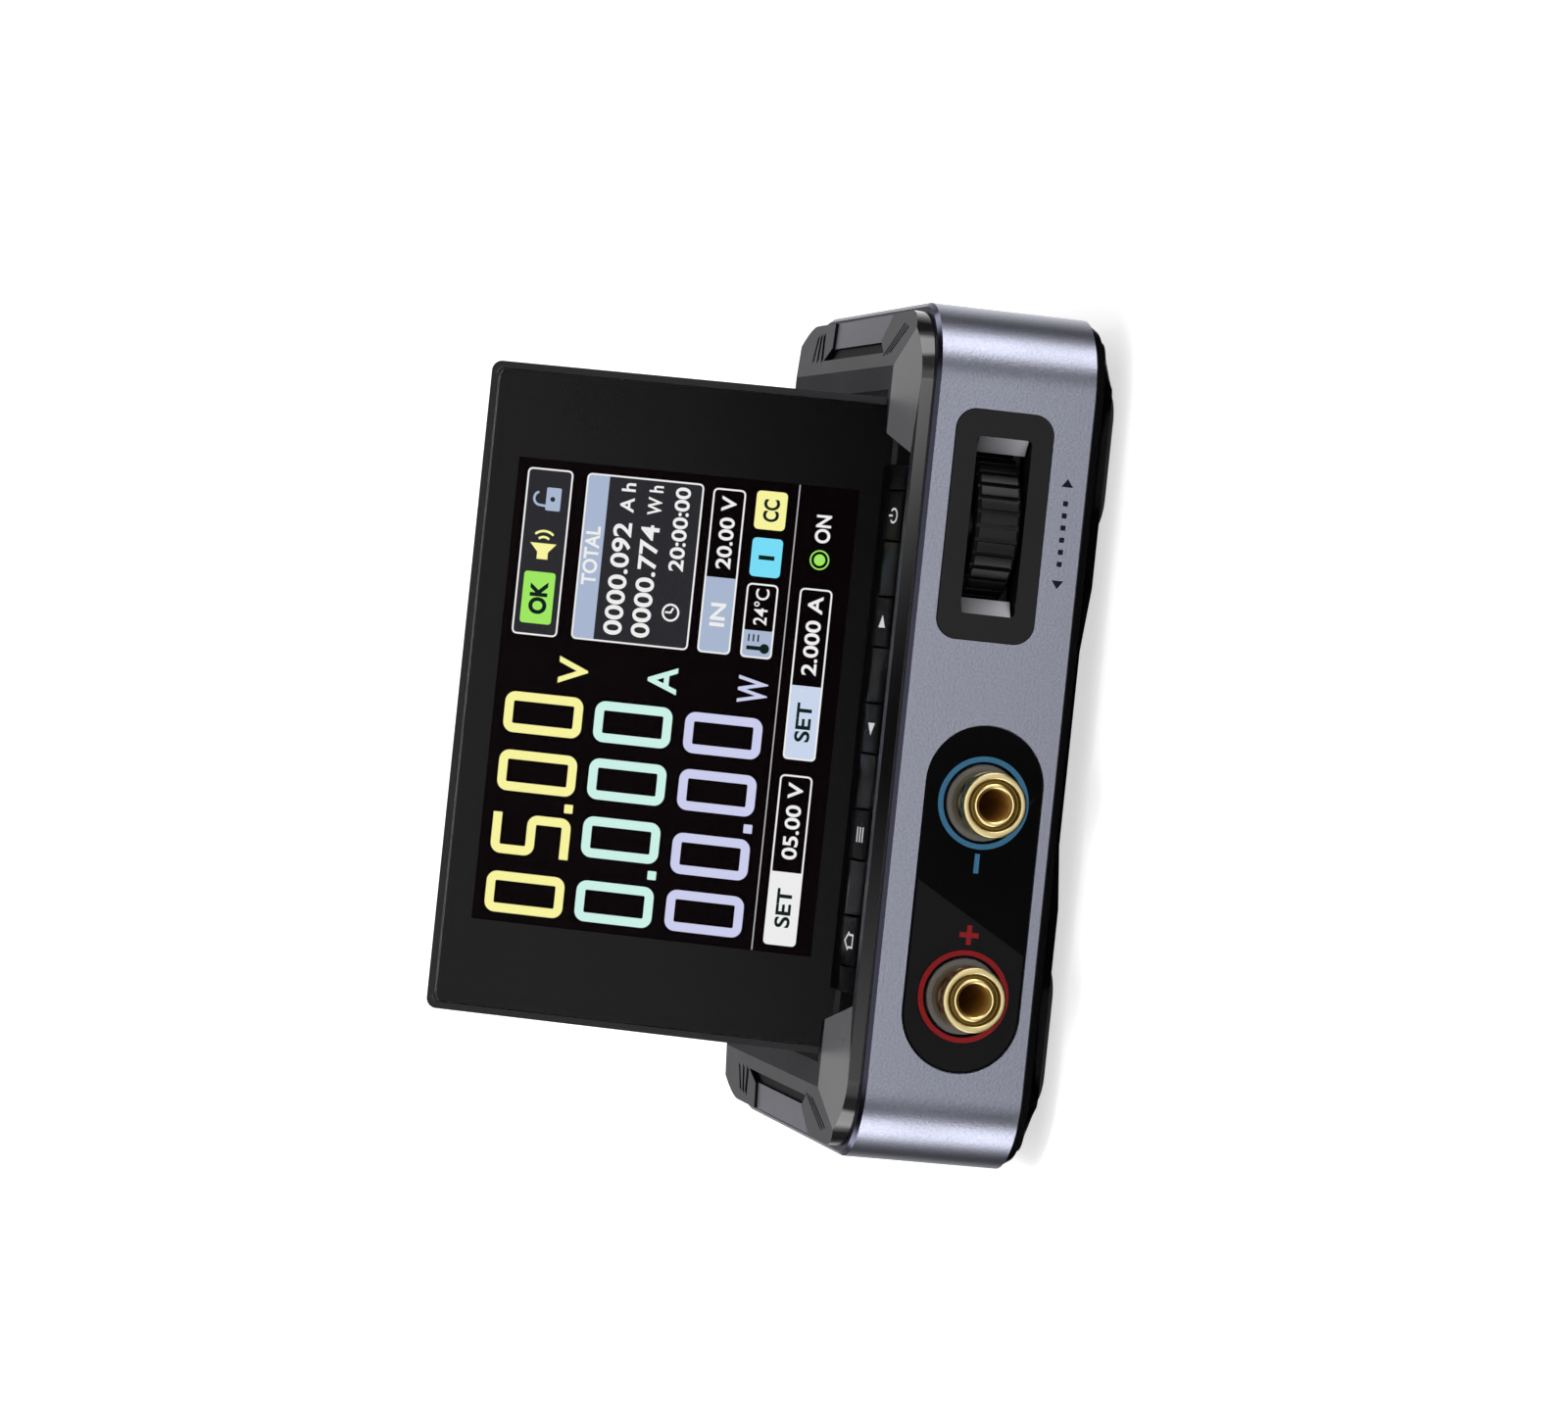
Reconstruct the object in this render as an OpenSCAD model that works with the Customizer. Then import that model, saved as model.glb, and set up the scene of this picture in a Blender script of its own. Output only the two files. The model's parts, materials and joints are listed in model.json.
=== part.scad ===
// Bench power supply for a desk: an aluminium band closed by a moulded tray and a moulded cover, with two
// 4 mm output sockets and a thumbwheel in front, and a colour display that folds down into the cover.
// Millimetres, +Z up, the user looks along +Y. The origin is on the table, under the middle of the outline.
// Inside the modules Y runs from the front face, and placed() takes every piece to the shared origin.

/* [Case] */
// From the folded display's side to the side of the aluminium band
side_margin = 12.1; // [11:0.1:18]
// From the folded display's top edge to the rear of the aluminium band
rear_margin = 8.9; // [8.2:0.1:16]
// Height of the aluminium band
band_h = 20; // [20:0.5:26]
// Radius of the vertical corners
corner_r = 10; // [9:0.5:14]
// Wall of the aluminium band
band_wall = 2; // [1.8:0.1:2.4]
// Polished chamfer round the top of the band
band_chamfer = 0.5; // [0.2:0.1:0.8]
// Height of the bottom tray below the band, feet included
tray_h = 4.5; // [4.2:0.1:6]
// Height of the cover above the band
cover_h = 3.5; // [3.2:0.1:5]
// Wall of the moulded tray and cover
shell_wall = 1.6; // [1.2:0.1:2]
// Step from the band in to the cover's lip
lip_inset = 1.2; // [0.8:0.1:1.6]
// Height of the cover's upright lip above the band
lip_h = 1.7; // [1.2:0.1:2.2]
// Depth of the sloping front of the cover
front_slope = 9.5; // [8:0.5:10]
// Width of the sloping sides of the cover
side_slope = 8.2; // [7:0.1:9]
// Depth of the sloping rear of the cover
rear_slope = 8; // [6:0.5:9]

/* [Display] */
// Angle of the raised display from level
display_tilt = 67; // [50:1:80]
// Width of the display
display_w = 81.8; // [76:0.2:83]
// Length from the hinge axis to the top edge
display_l = 52.5; // [48:0.5:54]
// Thickness of the display, twice the radius of its hinge end
display_t = 6.4; // [6:0.1:6.6]
// Radius of the display's corners
display_r = 1.3; // [0.8:0.1:4]
// Rim of the frame around the glass
glass_rim = 0.85; // [0.6:0.05:1.5]
// Thickness of the cover glass
glass_t = 0.8; // [0.6:0.1:1]
// Lit width of the screen
screen_w = 58.3; // [54:0.1:62]
// Lit height of the screen
screen_h = 43.7; // [38:0.1:44]
// Radius of the hinge pins
pin_r = 1.25; // [1:0.05:1.4]

/* [Sockets] */
// Distance between the two output sockets
socket_pitch = 23.8; // [19:0.1:24]
// Bore for a 4 mm plug
socket_bore_r = 2; // [1.9:0.05:2.1]
// Radius of the gold collar
collar_r = 4; // [3.6:0.1:4.4]
// How far the collar stands out of the front
collar_out = 6; // [4:0.5:8]
// Length of the plug bore
bore_l = 18; // [14:1:20]
// Length of the black terminal panel
panel_w = 42.7; // [40:0.1:46]
// Height of the black terminal panel, whose ends are round
panel_h = 14.7; // [13:0.1:15.5]
// Thickness of the terminal panel
panel_t = 0.8; // [0.6:0.1:1.2]

/* [Thumbwheel] */
// Radius of the thumbwheel
wheel_r = 9.2; // [8.4:0.1:9.4]
// Thickness of the thumbwheel
wheel_t = 5.35; // [4.5:0.05:6]
// How far the thumbwheel stands out of the front
wheel_out = 1.3; // [0.8:0.1:2]
// Number of grooves round the thumbwheel
wheel_grooves = 32; // [24:1:40]
// Width of the bezel
bezel_w = 28.1; // [27:0.1:30]
// Height of the bezel
bezel_h = 12.25; // [11.5:0.05:13.5]
// Length of the slot in the bezel
slot_w = 21.7; // [20:0.1:22.5]
// Height of the slot in the bezel
slot_h = 6.9; // [6.4:0.1:7.6]
// Press of the thumbwheel
wheel_press = 0.5; // [0.3:0.05:0.5]

/* [Keys] */
// Distance between the keys
key_pitch = 13.1; // [11:0.1:13.2]
// Width of a key
key_w = 6; // [5:0.1:7]
// Depth of a key, front to back
key_d = 4.4; // [4:0.1:4.8]
// Press of a key
key_press = 0.4; // [0.2:0.05:0.4]
// Length of the bar that carries the keys
bar_w = 65; // [62:0.5:66]

/* [Boards] */
// Thickness of the main circuit board
board_t = 1.6; // [1:0.2:1.6]
// Thickness of the small circuit boards
small_board_t = 1; // [0.8:0.1:1.2]
// Radius of the case screws' shanks
screw_r = 1.25; // [1:0.05:1.5]

/* [Hidden] */
$fn = 64;
// Gaps between pieces
fit = 0.1;
slack = 0.3;
thread_gap = 0.02;
running_gap = 0.05;
// Levels
band_z = tray_h;
band_top = band_z + band_h;
lip_top = band_top + lip_h;
cover_top = band_top + cover_h;
shadow_gap = 0.2;
// From the faces of the case in to the space inside the tray and the cover
inner_inset = band_wall + 1.4;
// Display, and the case round it
hinge_r = display_t / 2;
hinge_y = front_slope + shell_wall + slack + hinge_r;
body_w = display_w + 2 * side_margin;
body_d = hinge_y + display_l + rear_margin;
front_y = -(body_d - collar_out) / 2;
inner_w = body_w - 2 * band_wall;
hinge_z = cover_top - hinge_r - fit;
well_x = display_w / 2 + 0.9;
well_y0 = hinge_y - hinge_r - slack;
well_y1 = hinge_y + display_l + 0.4;
well_floor = hinge_z - hinge_r - 0.4;
tub_bottom = well_floor - 1.2;
screen_margin = 4.55;
screen_y = display_l - screen_margin - screen_h / 2;
lcd_x = screen_w / 2 + 3;
frame_wall = 1.2;
back_t = 1.2;
pin_len = 12.5;
glass_y0 = 0.6;
// Terminal panel and sockets
panel_x = -19.55;
panel_z = band_z + 8.76;
socket_z = panel_z - 0.05;
socket_x = [panel_x - socket_pitch / 2, panel_x + socket_pitch / 2];
shank_r = socket_bore_r + 1;
shank_l = bore_l - collar_out + 2;
insulator_r = 4.62;
insulator_out = 0.3;
ring_r = 5.7;
ring_w = 0.65;
rim_r = 0.25;
bead_r = 0.36;
face_r = 3.22;
neck_deep = 0.35;
neck_y = 1.7 - collar_out;
washer_t = 1;
nut_t = 2.5;
tail_r = 1.2;
tail_l = 3;
// Thumbwheel
wheel_x = 26.1;
wheel_z = band_z + 10.7;
wheel_y = wheel_r - wheel_out;
bezel_x = wheel_x;
bezel_z = wheel_z + 0.15;
bezel_out = 0.15;
bezel_r = 2.5;
flange = 1.2;
flange_t = 1;
axle_r = 1.25;
plate_t = 1;
plate_gap = 0.45;
carrier_w = slot_w - 0.3;
carrier_y0 = band_wall + flange_t + slack;
carrier_y1 = wheel_y + wheel_r + 0.5 + plate_t + wheel_press;
plunger_gap = 0.05;
switch_t = 1.6;
encoder_y = carrier_y1 + wheel_press + plunger_gap + 0.6 + switch_t;
encoder_board_w = 24;
// Boards
board_z = band_z + 2.5;
board_top = board_z + board_t;
board_w = inner_w - 4;
board_y0 = band_wall + 2.5;
board_y1 = body_d - band_wall - 0.4;
column_x = body_w / 2 - 6;
column_y = [7, body_d - 7];
column_r = 2.7;
column_top = band_z + 10.5;
column_z0 = band_z - 1.8;
head_r = 2.2;
head_h = 1.4;
head_z = band_z - 2.1;
post_x = body_w / 2 - 15;
post_y = [12, body_d - 20];
post_r = 2.4;
small_screw_r = 0.9;
boss_r = 1.9;
power_y = body_d / 2 + 2;
// The arch under the tray
arch_x = [12, 24];
arch_h = 2.4;
// Keys
key_y0 = 3.1;
notch_x0 = 34;
notch_x1 = 37.2;
strip_d = 0.9;
notch_floor = lip_top - 0.2;
bar_top = cover_top - 0.5;
bar_front = [lip_inset + strip_d + 0.2, notch_floor];
bar_edge_y = 5.6;
key_top = bar_top + 0.05;
key_fall = 0.7;
key_flange_z = notch_floor - 1.2 - 0.2;
key_stem_z = key_flange_z - 0.8;
switch_top = key_stem_z - key_press - plunger_gap;
key_board_z = switch_top - 0.4 - 1.2 - small_board_t;
key_board_y = [carrier_y0 + 0.1, well_y0 - shell_wall - slack];
key_board_w = 64;
// Hinge brackets
bracket_x = well_x + shell_wall + 0.2;
barrel_r = 2;
barrel_l = 2.4;
bracket_t = 1.2;
bracket_z = tub_bottom;

// Takes a piece, drawn with Y from the front face, to the shared origin
module placed() translate([0, front_y, 0]) children();

// Takes a piece, drawn flat with Y from the hinge axis and Z out of the glass, to the raised display
module raised() placed() translate([0, hinge_y, hinge_z]) rotate([display_tilt, 0, 0]) children();

module both_sides() for (side = [0, 1]) mirror([side, 0, 0]) children();

module rounded(w, d, r) {
  translate([-w / 2 + r, -d / 2]) square([w - 2 * r, d]);
  translate([-w / 2, -d / 2 + r]) square([w, d - 2 * r]);
  for (x = [-w / 2 + r, w / 2 - r], y = [-d / 2 + r, d / 2 - r]) translate([x, y]) circle(r);
}

module pill(w, h) {
  square([w - h, h], center = true);
  for (x = [-1, 1]) translate([x * (w - h) / 2, 0]) circle(h / 2);
}

// A plate that faces the user, drawn as width and height, from y to y + t
module facing(x, y, z, t) translate([x, y + t, z]) rotate([90, 0, 0]) linear_extrude(t) children();

// The case's outline, drawn in by an inset, from z to z + h
module case_slab(inset, z, h)
  translate([0, body_d / 2, z]) linear_extrude(h)
    rounded(body_w - 2 * inset, body_d - 2 * inset, corner_r - inset);

// Sweeps a profile, drawn as distance in from the face and height, round the case
module band_sweep() translate([0, body_d / 2, 0]) for (turn = [0:3]) rotate(90 * turn) {
  half = turn % 2 == 0 ? [body_w / 2, body_d / 2] : [body_d / 2, body_w / 2];
  translate([-half[0] + corner_r, -half[1], 0]) rotate([90, 0, 90])
    linear_extrude(2 * (half[0] - corner_r)) children();
  translate([half[0] - corner_r, -half[1] + corner_r, 0]) rotate(-90) rotate_extrude(angle = 90)
    translate([corner_r, 0]) mirror([1, 0]) children();
}

module corner_holes(r) for (y = column_y) translate([column_x, y]) circle(r);

// The tray: a dished floor, a spigot that enters the band, four screw columns and four board posts
module bottom_shell() color("#141416") placed() difference() {
  union() {
    difference() {
      hull() {
        case_slab(0.3, band_z - 0.2, 0.2);
        case_slab(1, band_z - 1.3, 0.1);
        case_slab(6, 0.8, 0.1);
      }
      hull() {
        case_slab(inner_inset, band_z, 1);
        case_slab(7.4, 0.8 + shell_wall, 0.1);
      }
      foot_pockets(fit);
    }
    spigot(band_z - 0.5, 2.2);
    // The raised middle of the floor, between the feet
    translate([0, body_d / 2, 0]) rotate([90, 0, 0]) linear_extrude(body_d - 16, center = true)
      polygon([[-arch_x[1] - 1, 1.6], [-arch_x[0] - 1, arch_h + shell_wall],
        [arch_x[0] + 1, arch_h + shell_wall], [arch_x[1] + 1, 1.6]]);
    both_sides() {
      for (y = column_y) {
        translate([column_x, y, column_z0]) cylinder(h = band_z - column_z0, r = column_r + 0.7);
        translate([column_x, y, column_z0]) cylinder(h = column_top - column_z0, r = column_r);
      }
      for (y = post_y) translate([post_x, y, 1.2]) cylinder(h = board_z - 1.2, r = post_r);
    }
  }
  // The arch under the middle
  translate([0, body_d / 2, 0]) rotate([90, 0, 0]) linear_extrude(body_d + 2, center = true)
    polygon([[-arch_x[1], 0], [-arch_x[0], arch_h], [arch_x[0], arch_h], [arch_x[1], 0]]);
  both_sides() {
    for (y = column_y) {
      translate([column_x, y, 0]) cylinder(h = column_top + 1, r = screw_r + 0.25);
      translate([column_x, y, 0]) cylinder(h = head_z + head_h, r = head_r + fit);
    }
    for (y = post_y) translate([post_x, y, 3]) cylinder(h = board_z, r = small_screw_r + thread_gap);
  }
  for (k = [-4:4]) translate([k * 3.2, body_d / 2, 0]) linear_extrude(band_z)
    for (y = [-14, 14]) translate([0, y]) rotate(90) pill(18, 1.6);
}

// The wall that centres a moulding inside the band, left out where the front and rear fittings are
module spigot(z, h) difference() {
  case_slab(band_wall + fit, z, h);
  case_slab(band_wall + fit + 1.2, z - 1, h + 2);
  translate([-body_w / 2 + 11, -1, z - 2]) cube([body_w - 22, body_d + 2, h + 4]);
}

foot_size = [17, 7.5];
foot_x = body_w / 2 - 17;
foot_y = [11, body_d - 11];
module foot_pockets(gap) both_sides() for (y = foot_y)
  translate([foot_x, y, -1]) linear_extrude(1 + 1.2) pill(foot_size[0] + 2 * gap, foot_size[1] + 2 * gap);

module rubber_feet() color("#1d1d1f") placed() both_sides() for (y = foot_y) translate([foot_x, y, 0]) {
  linear_extrude(1.2) pill(foot_size[0], foot_size[1]);
}

module case_screws() color("#6e6f73") placed() both_sides() for (y = column_y) translate([column_x, y, 0]) {
  difference() {
    translate([0, 0, head_z]) cylinder(h = head_h, r = head_r);
    translate([0, 0, head_z - 0.1]) cylinder(h = 0.8, r = screw_r, $fn = 6);
  }
  translate([0, 0, head_z + head_h - 0.1]) cylinder(h = column_top + 4.6 - head_z - head_h, r = screw_r);
}

// The band: an extruded aluminium ring with a chamfered top, machined for the panel, bezel and inlets
module frame_ring() color("#868694") placed() difference() {
  band_sweep() polygon([[0, band_z], [0, band_top - band_chamfer], [band_chamfer, band_top],
    [band_wall, band_top], [band_wall, band_z]]);
  facing(panel_x, -1, panel_z, 1 + panel_t) pill(panel_w + 2 * fit, panel_h + 2 * fit);
  for (x = socket_x) facing(x, -1, socket_z, band_wall + 2) circle(collar_r);
  facing(bezel_x, -1, bezel_z, band_wall + 2) rounded(bezel_w + 2 * fit, bezel_h + 2 * fit, bezel_r + fit);
  facing(dc_x, body_d - band_wall - 1, dc_z, band_wall + 2) circle(dc_mouth_r + fit);
  facing(usb_x, body_d - band_wall - 1, usb_z, band_wall + 2) pill(usb_w + 2 * fit, usb_h + 2 * fit);
  facing(data_x, body_d - band_wall - 1, data_z, band_wall + 2)
    rounded(data_w + 2 * fit, data_h + 2 * fit, 0.5);
}

// The gloss panel, glued into a pocket of the band
module terminal_panel() color("#0e0e0f") placed() difference() {
  facing(panel_x, fit / 2, panel_z, panel_t - fit / 2) pill(panel_w, panel_h);
  for (x = socket_x) facing(x, -1, socket_z, 3) circle(insulator_r + fit);
}

module terminal_ring(x) placed() facing(x, -0.1, socket_z, 0.1 + fit / 2) difference() {
  circle(ring_r);
  circle(ring_r - ring_w);
}
module terminal_ring_positive() color("#a8282c") terminal_ring(socket_x[0]);
module terminal_ring_negative() color("#2f6f9f") terminal_ring(socket_x[1]);

// A solid of revolution about a socket's axis, drawn as radius and depth from the front face
module socket_turned(x) placed() translate([x, 0, socket_z]) rotate([-90, 0, 0])
  rotate_extrude() children();

module jack_insulators() color("#5b514d") for (x = socket_x) socket_turned(x)
  polygon([[shank_r + running_gap, -insulator_out], [insulator_r, -insulator_out], [insulator_r, panel_t],
    [collar_r - fit, panel_t], [collar_r - fit, band_wall], [shank_r + running_gap, band_wall]]);

// A gold socket: a collar with a neck, a flat face with a round rim, a groove and a rolled bead round the
// mouth, a threaded shank and a solder tail
rim_arc = [for (a = [90:-22.5:0])
  [collar_r - rim_r + rim_r * cos(a), -collar_out + rim_r - rim_r * sin(a)]];
bead_x = socket_bore_r + bead_r - thread_gap;
bead_y = bead_r + running_gap - collar_out;
bead_arc = [for (a = [180:-20:0]) [bead_x + bead_r * cos(a), bead_y - bead_r * sin(a)]];
mouth_step = [[face_r - 0.2, bead_y], [face_r, 0.1 - collar_out], [face_r + 0.1, -collar_out]];
module jack(x) socket_turned(x) difference() {
  polygon(concat([[0, shank_l + tail_l], [0, bead_y]], bead_arc, mouth_step, rim_arc,
    [[collar_r, -insulator_out], [shank_r, -insulator_out], [shank_r, shank_l], [tail_r, shank_l],
    [tail_r, shank_l + tail_l]]));
  translate([-1, -collar_out - 1]) square([1 + socket_bore_r, bore_l + 1]);
  translate([collar_r, neck_y]) polygon([[-neck_deep, 0], [1, 0], [1, 0.9], [0, 0.9], [-0.2, 0.6],
    [-neck_deep, 0.5]]);
}
module jack_positive() color("#c9a04a") jack(socket_x[0]);
module jack_negative() color("#c9a04a") jack(socket_x[1]);

module jack_washers() color("#3a3a3c") for (x = socket_x) socket_turned(x)
  translate([shank_r + running_gap, band_wall]) square([1.6, washer_t]);

module jack_nuts() color("#b9bac0") for (x = socket_x) placed()
  facing(x, band_wall + washer_t, socket_z, nut_t) difference() {
    circle(4.6, $fn = 6);
    circle(shank_r + thread_gap);
  }

// Copper straps from the sockets' tails down to the main board
strap_y = shank_l + 0.6;
module output_straps() color("#b8743c") for (x = socket_x) placed() {
  facing(x, strap_y, 0, 0.8) difference() {
    union() {
      translate([-2.4, board_top]) square([4.8, socket_z - board_top]);
      translate([0, socket_z]) circle(2.4);
    }
    translate([0, socket_z]) circle(tail_r + thread_gap);
  }
  translate([x - 2.4, strap_y, board_top]) cube([4.8, 4, 0.8]);
}

// The bezel: a frame with bright ramps at both ends of its slot, held behind the band by a flange, and two
// arms that guide the wheel's carrier
module encoder_bezel() color("#2b2b2d") placed() {
  difference() {
    union() {
      facing(bezel_x, -bezel_out, bezel_z, band_wall + bezel_out + fit) rounded(bezel_w, bezel_h, bezel_r);
      facing(bezel_x, band_wall, bezel_z, flange_t)
        rounded(bezel_w + 2 * flange, bezel_h + 2 * flange, bezel_r + flange);
    }
    facing(bezel_x, -1, wheel_z + 0.05, 6) rounded(slot_w, slot_h, 0.6);
  }
  for (s = [-1, 1]) {
    translate([bezel_x, 0, wheel_z - slot_h / 2 + 0.4]) linear_extrude(slot_h - 0.7)
      polygon([[s * (slot_w / 2 + 0.2), 0.35], [s * (slot_w / 2 - 1.9), 1.7],
        [s * (slot_w / 2 - 1.9), 2.3], [s * (slot_w / 2 + 0.2), 2.3]]);
    translate([bezel_x + s * (slot_w / 2 + 0.6), (carrier_y0 + carrier_y1) / 2 - 0.6, wheel_z])
      cube([1.2, carrier_y1 - carrier_y0 + 1.6, 5], center = true);
  }
}

plate_z = [wheel_z - wheel_t / 2 - plate_gap - plate_t, wheel_z + wheel_t / 2 + plate_gap];
// The yoke that carries the wheel's axle and slides back when the wheel is pressed
module wheel_carrier() color("#38383b") placed() {
  difference() {
    for (z = plate_z) translate([wheel_x, 0, z]) linear_extrude(plate_t) {
      translate([-carrier_w / 2, wheel_y]) square([carrier_w, carrier_y1 - wheel_y]);
      translate([0, wheel_y]) circle(wheel_y - carrier_y0);
    }
    translate([wheel_x, wheel_y, plate_z[0] - 1]) cylinder(h = 20, r = axle_r + thread_gap);
  }
  translate([wheel_x - carrier_w / 2, carrier_y1 - plate_t, plate_z[0]])
    cube([carrier_w, plate_t, plate_z[1] - plate_z[0] + plate_t]);
}

module wheel_axle() color("#b9bac0") placed() translate([wheel_x, wheel_y, 0]) {
  translate([0, 0, plate_z[0]]) cylinder(h = plate_z[1] + plate_t - plate_z[0] + 0.1, r = axle_r);
  translate([0, 0, plate_z[1] + plate_t]) cylinder(h = 0.3, r = axle_r + 0.7);
}

// The wheel: grooved rim, a lower web inside it and a bored hub
module thumbwheel() color("#1b1b1c") placed() translate([wheel_x, wheel_y, wheel_z]) difference() {
  rotate_extrude($fn = 96) polygon([[axle_r + running_gap, -wheel_t / 2 - plate_gap + 0.1],
    [3, -wheel_t / 2 - plate_gap + 0.1], [3, -wheel_t / 2 + 0.9], [wheel_r - 2, -wheel_t / 2 + 0.9],
    [wheel_r - 2, -wheel_t / 2], [wheel_r - 0.35, -wheel_t / 2], [wheel_r, -wheel_t / 2 + 0.35],
    [wheel_r, wheel_t / 2 - 0.35], [wheel_r - 0.35, wheel_t / 2], [wheel_r - 2, wheel_t / 2],
    [wheel_r - 2, wheel_t / 2 - 0.9], [3, wheel_t / 2 - 0.9], [3, wheel_t / 2 + plate_gap - 0.1],
    [axle_r + running_gap, wheel_t / 2 + plate_gap - 0.1]]);
  for (k = [0:wheel_grooves - 1]) rotate(k * 360 / wheel_grooves)
    translate([wheel_r - 0.55, -0.28, -wheel_t]) cube([2, 0.56, 2 * wheel_t]);
}

module encoder_switch() color("#1e1e20") placed() {
  translate([wheel_x - 3, encoder_y - switch_t, wheel_z - 3]) cube([6, switch_t, 6]);
  facing(wheel_x, encoder_y - switch_t - 0.6, wheel_z, 0.7) circle(1.2);
}

module encoder_board() color("#1f5a3c") placed()
  translate([wheel_x - encoder_board_w / 2, encoder_y, board_top])
    cube([encoder_board_w, small_board_t, wheel_z + 4.5 - board_top]);

// The main board, notched at the corners for the screw columns
module main_board() color("#1f5a3c") placed() translate([0, 0, board_z])
  linear_extrude(board_t) difference() {
  translate([-board_w / 2, board_y0]) square([board_w, board_y1 - board_y0]);
  both_sides() {
    corner_holes(column_r + slack);
    for (y = column_y) translate([column_x, y - column_r - slack]) square([10, 2 * (column_r + slack)]);
    for (y = [0, body_d - column_y[0]])
      translate([column_x - column_r - slack, y]) square([12, column_y[0]]);
    for (y = post_y) translate([post_x, y]) circle(1.2);
  }
}

module board_screws() color("#8b8c90") placed() both_sides() for (y = post_y) translate([post_x, y, 0]) {
  translate([0, 0, 3.4]) cylinder(h = board_top - 3.4 + 0.1, r = small_screw_r);
  difference() {
    translate([0, 0, board_top]) cylinder(h = 1.3, r = 1.9);
    translate([0, 0, board_top + 0.6]) cylinder(h = 1, r = 0.9, $fn = 6);
  }
}

module power_inductor() color("#4a4a4d") placed() translate([-14, power_y, board_top]) {
  linear_extrude(7) rounded(13, 13, 2);
  for (x = [-7, 6]) translate([x, -2, 0]) cube([1, 4, 2]);
}

cap_pitch = [10, 11];
module capacitors() color("#3d4450") placed() for (i = [-1, 1], k = [1:3])
  translate([-post_x - 1 + i * cap_pitch[0] / 2, post_y[1] + 4 - k * cap_pitch[1], board_top]) {
    linear_extrude(1) rounded(6.6, 6.6, 0.6);
    cylinder(h = 7.7, r = 3.15);
  }

transistor_x = [for (k = [0:3]) k * 8];
module power_transistors() color("#232326") placed() for (x = transistor_x)
  translate([x, power_y, board_top]) {
    translate([-3, -3, 0]) cube([6, 5, 1]);
    for (k = [-1:2]) translate([k * 1.27 - 0.9, -3.6, 0]) cube([0.5, 0.8, 0.3]);
  }

// A finned aluminium block that takes the transistors' heat
spreader_w = transistor_x[3] - transistor_x[0] + 10;
spreader_d = 13;
fin_pitch = spreader_w / 8.5;
module heat_spreader() color("#9b9ca3") placed()
  translate([transistor_x[0] - 5, power_y - 5, board_top + 1]) {
    cube([spreader_w, spreader_d, 1.6]);
    for (k = [0:8]) translate([k * fin_pitch, 0, 1.5]) cube([1.2, spreader_d, 5]);
  }

// Each chip's place across, its distance from the board's rear edge and its size
chips = [[-8, 15.6, 7], [8, 13.6, 5], [22, 13.6, 9], [post_x, board_y1 - post_y[1] + 8, 5]];
module control_chips() color("#1c1c1e") placed() for (p = chips)
  translate([p[0] - p[2] / 2, board_y1 - p[1] - p[2] / 2, board_top]) cube([p[2], p[2], 1.1]);

buzzer_r = 4.5;
module buzzer() color("#19191b") placed() translate([post_x + 4, post_y[1] - 16, board_top]) difference() {
  cylinder(h = 4.5, r = buzzer_r);
  translate([0, 0, 3.6]) cylinder(h = 2, r = 0.9);
}

// The round power inlet, its mouth just inside the band's rear face
dc_mouth_r = 4;
dc_x = -30;
dc_z = board_top + 5.6;
module dc_inlet() color("#161617") placed() {
  difference() {
    union() {
      translate([dc_x - 4.5, body_d - 14, board_top]) cube([9, 14 - band_wall - slack, 10.4]);
      facing(dc_x, body_d - band_wall - slack - 0.2, dc_z, band_wall + 0.3) circle(dc_mouth_r);
    }
    facing(dc_x, body_d - 10.5, dc_z, 12) circle(3.2);
  }
  facing(dc_x, body_d - 11, dc_z, 9.5) circle(1.25);
}

// The oval inlet for a supply lead
usb_w = 8.94;
usb_h = 3.26;
usb_x = -8;
usb_z = board_top + usb_h / 2 + 0.1;
module usb_c_socket() color("#b4b5ba") placed() {
  difference() {
    facing(usb_x, body_d - 8, usb_z, 7.6) pill(usb_w, usb_h);
    facing(usb_x, body_d - 7.2, usb_z, 8) pill(usb_w - 0.6, usb_h - 0.6);
  }
  facing(usb_x, body_d - 7.4, usb_z, 5.6) square([6.7, 0.7], center = true);
  translate([usb_x - usb_w / 2 + 1.4, body_d - 7, board_top]) cube([usb_w - 2.8, 4, 0.3]);
}

// The small socket for data
data_w = 7.5;
data_h = 2.7;
data_x = 12;
data_z = board_top + data_h / 2;
module micro_usb_socket() color("#b4b5ba") placed() {
  difference() {
    facing(data_x, body_d - 5.8, data_z, 5.4) rounded(data_w, data_h, 0.4);
    facing(data_x, body_d - 5.2, data_z, 6) rounded(data_w - 0.6, data_h - 0.6, 0.3);
  }
  facing(data_x, body_d - 5.4, data_z + 0.3, 3.6) square([4, 0.6], center = true);
}

// The key board under the front of the cover, its five switches and its screws
module key_board() color("#1f5a3c") placed() translate([0, 0, key_board_z]) linear_extrude(small_board_t)
  difference() {
    translate([-key_board_w / 2, key_board_y[0]])
      square([key_board_w, key_board_y[1] - key_board_y[0]]);
    for (x = screw_post_x) translate([x, screw_post_y]) circle(1);
  }
screw_post_x = [-19.65, 19.65];
screw_post_y = (key_board_y[0] + key_board_y[1]) / 2;
key_screw_r = 0.75;
key_x = [for (k = [-2:2]) k * key_pitch];
switch_y = key_y0 + key_d / 2 + 0.4;
module key_switches() color("#a9aab0") placed() for (x = key_x)
  translate([x, switch_y, key_board_z + small_board_t]) {
    translate([-2, -1.9, 0]) cube([4, 3.8, 1.2]);
    cylinder(h = 1.6, r = 0.9);
  }
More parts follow.
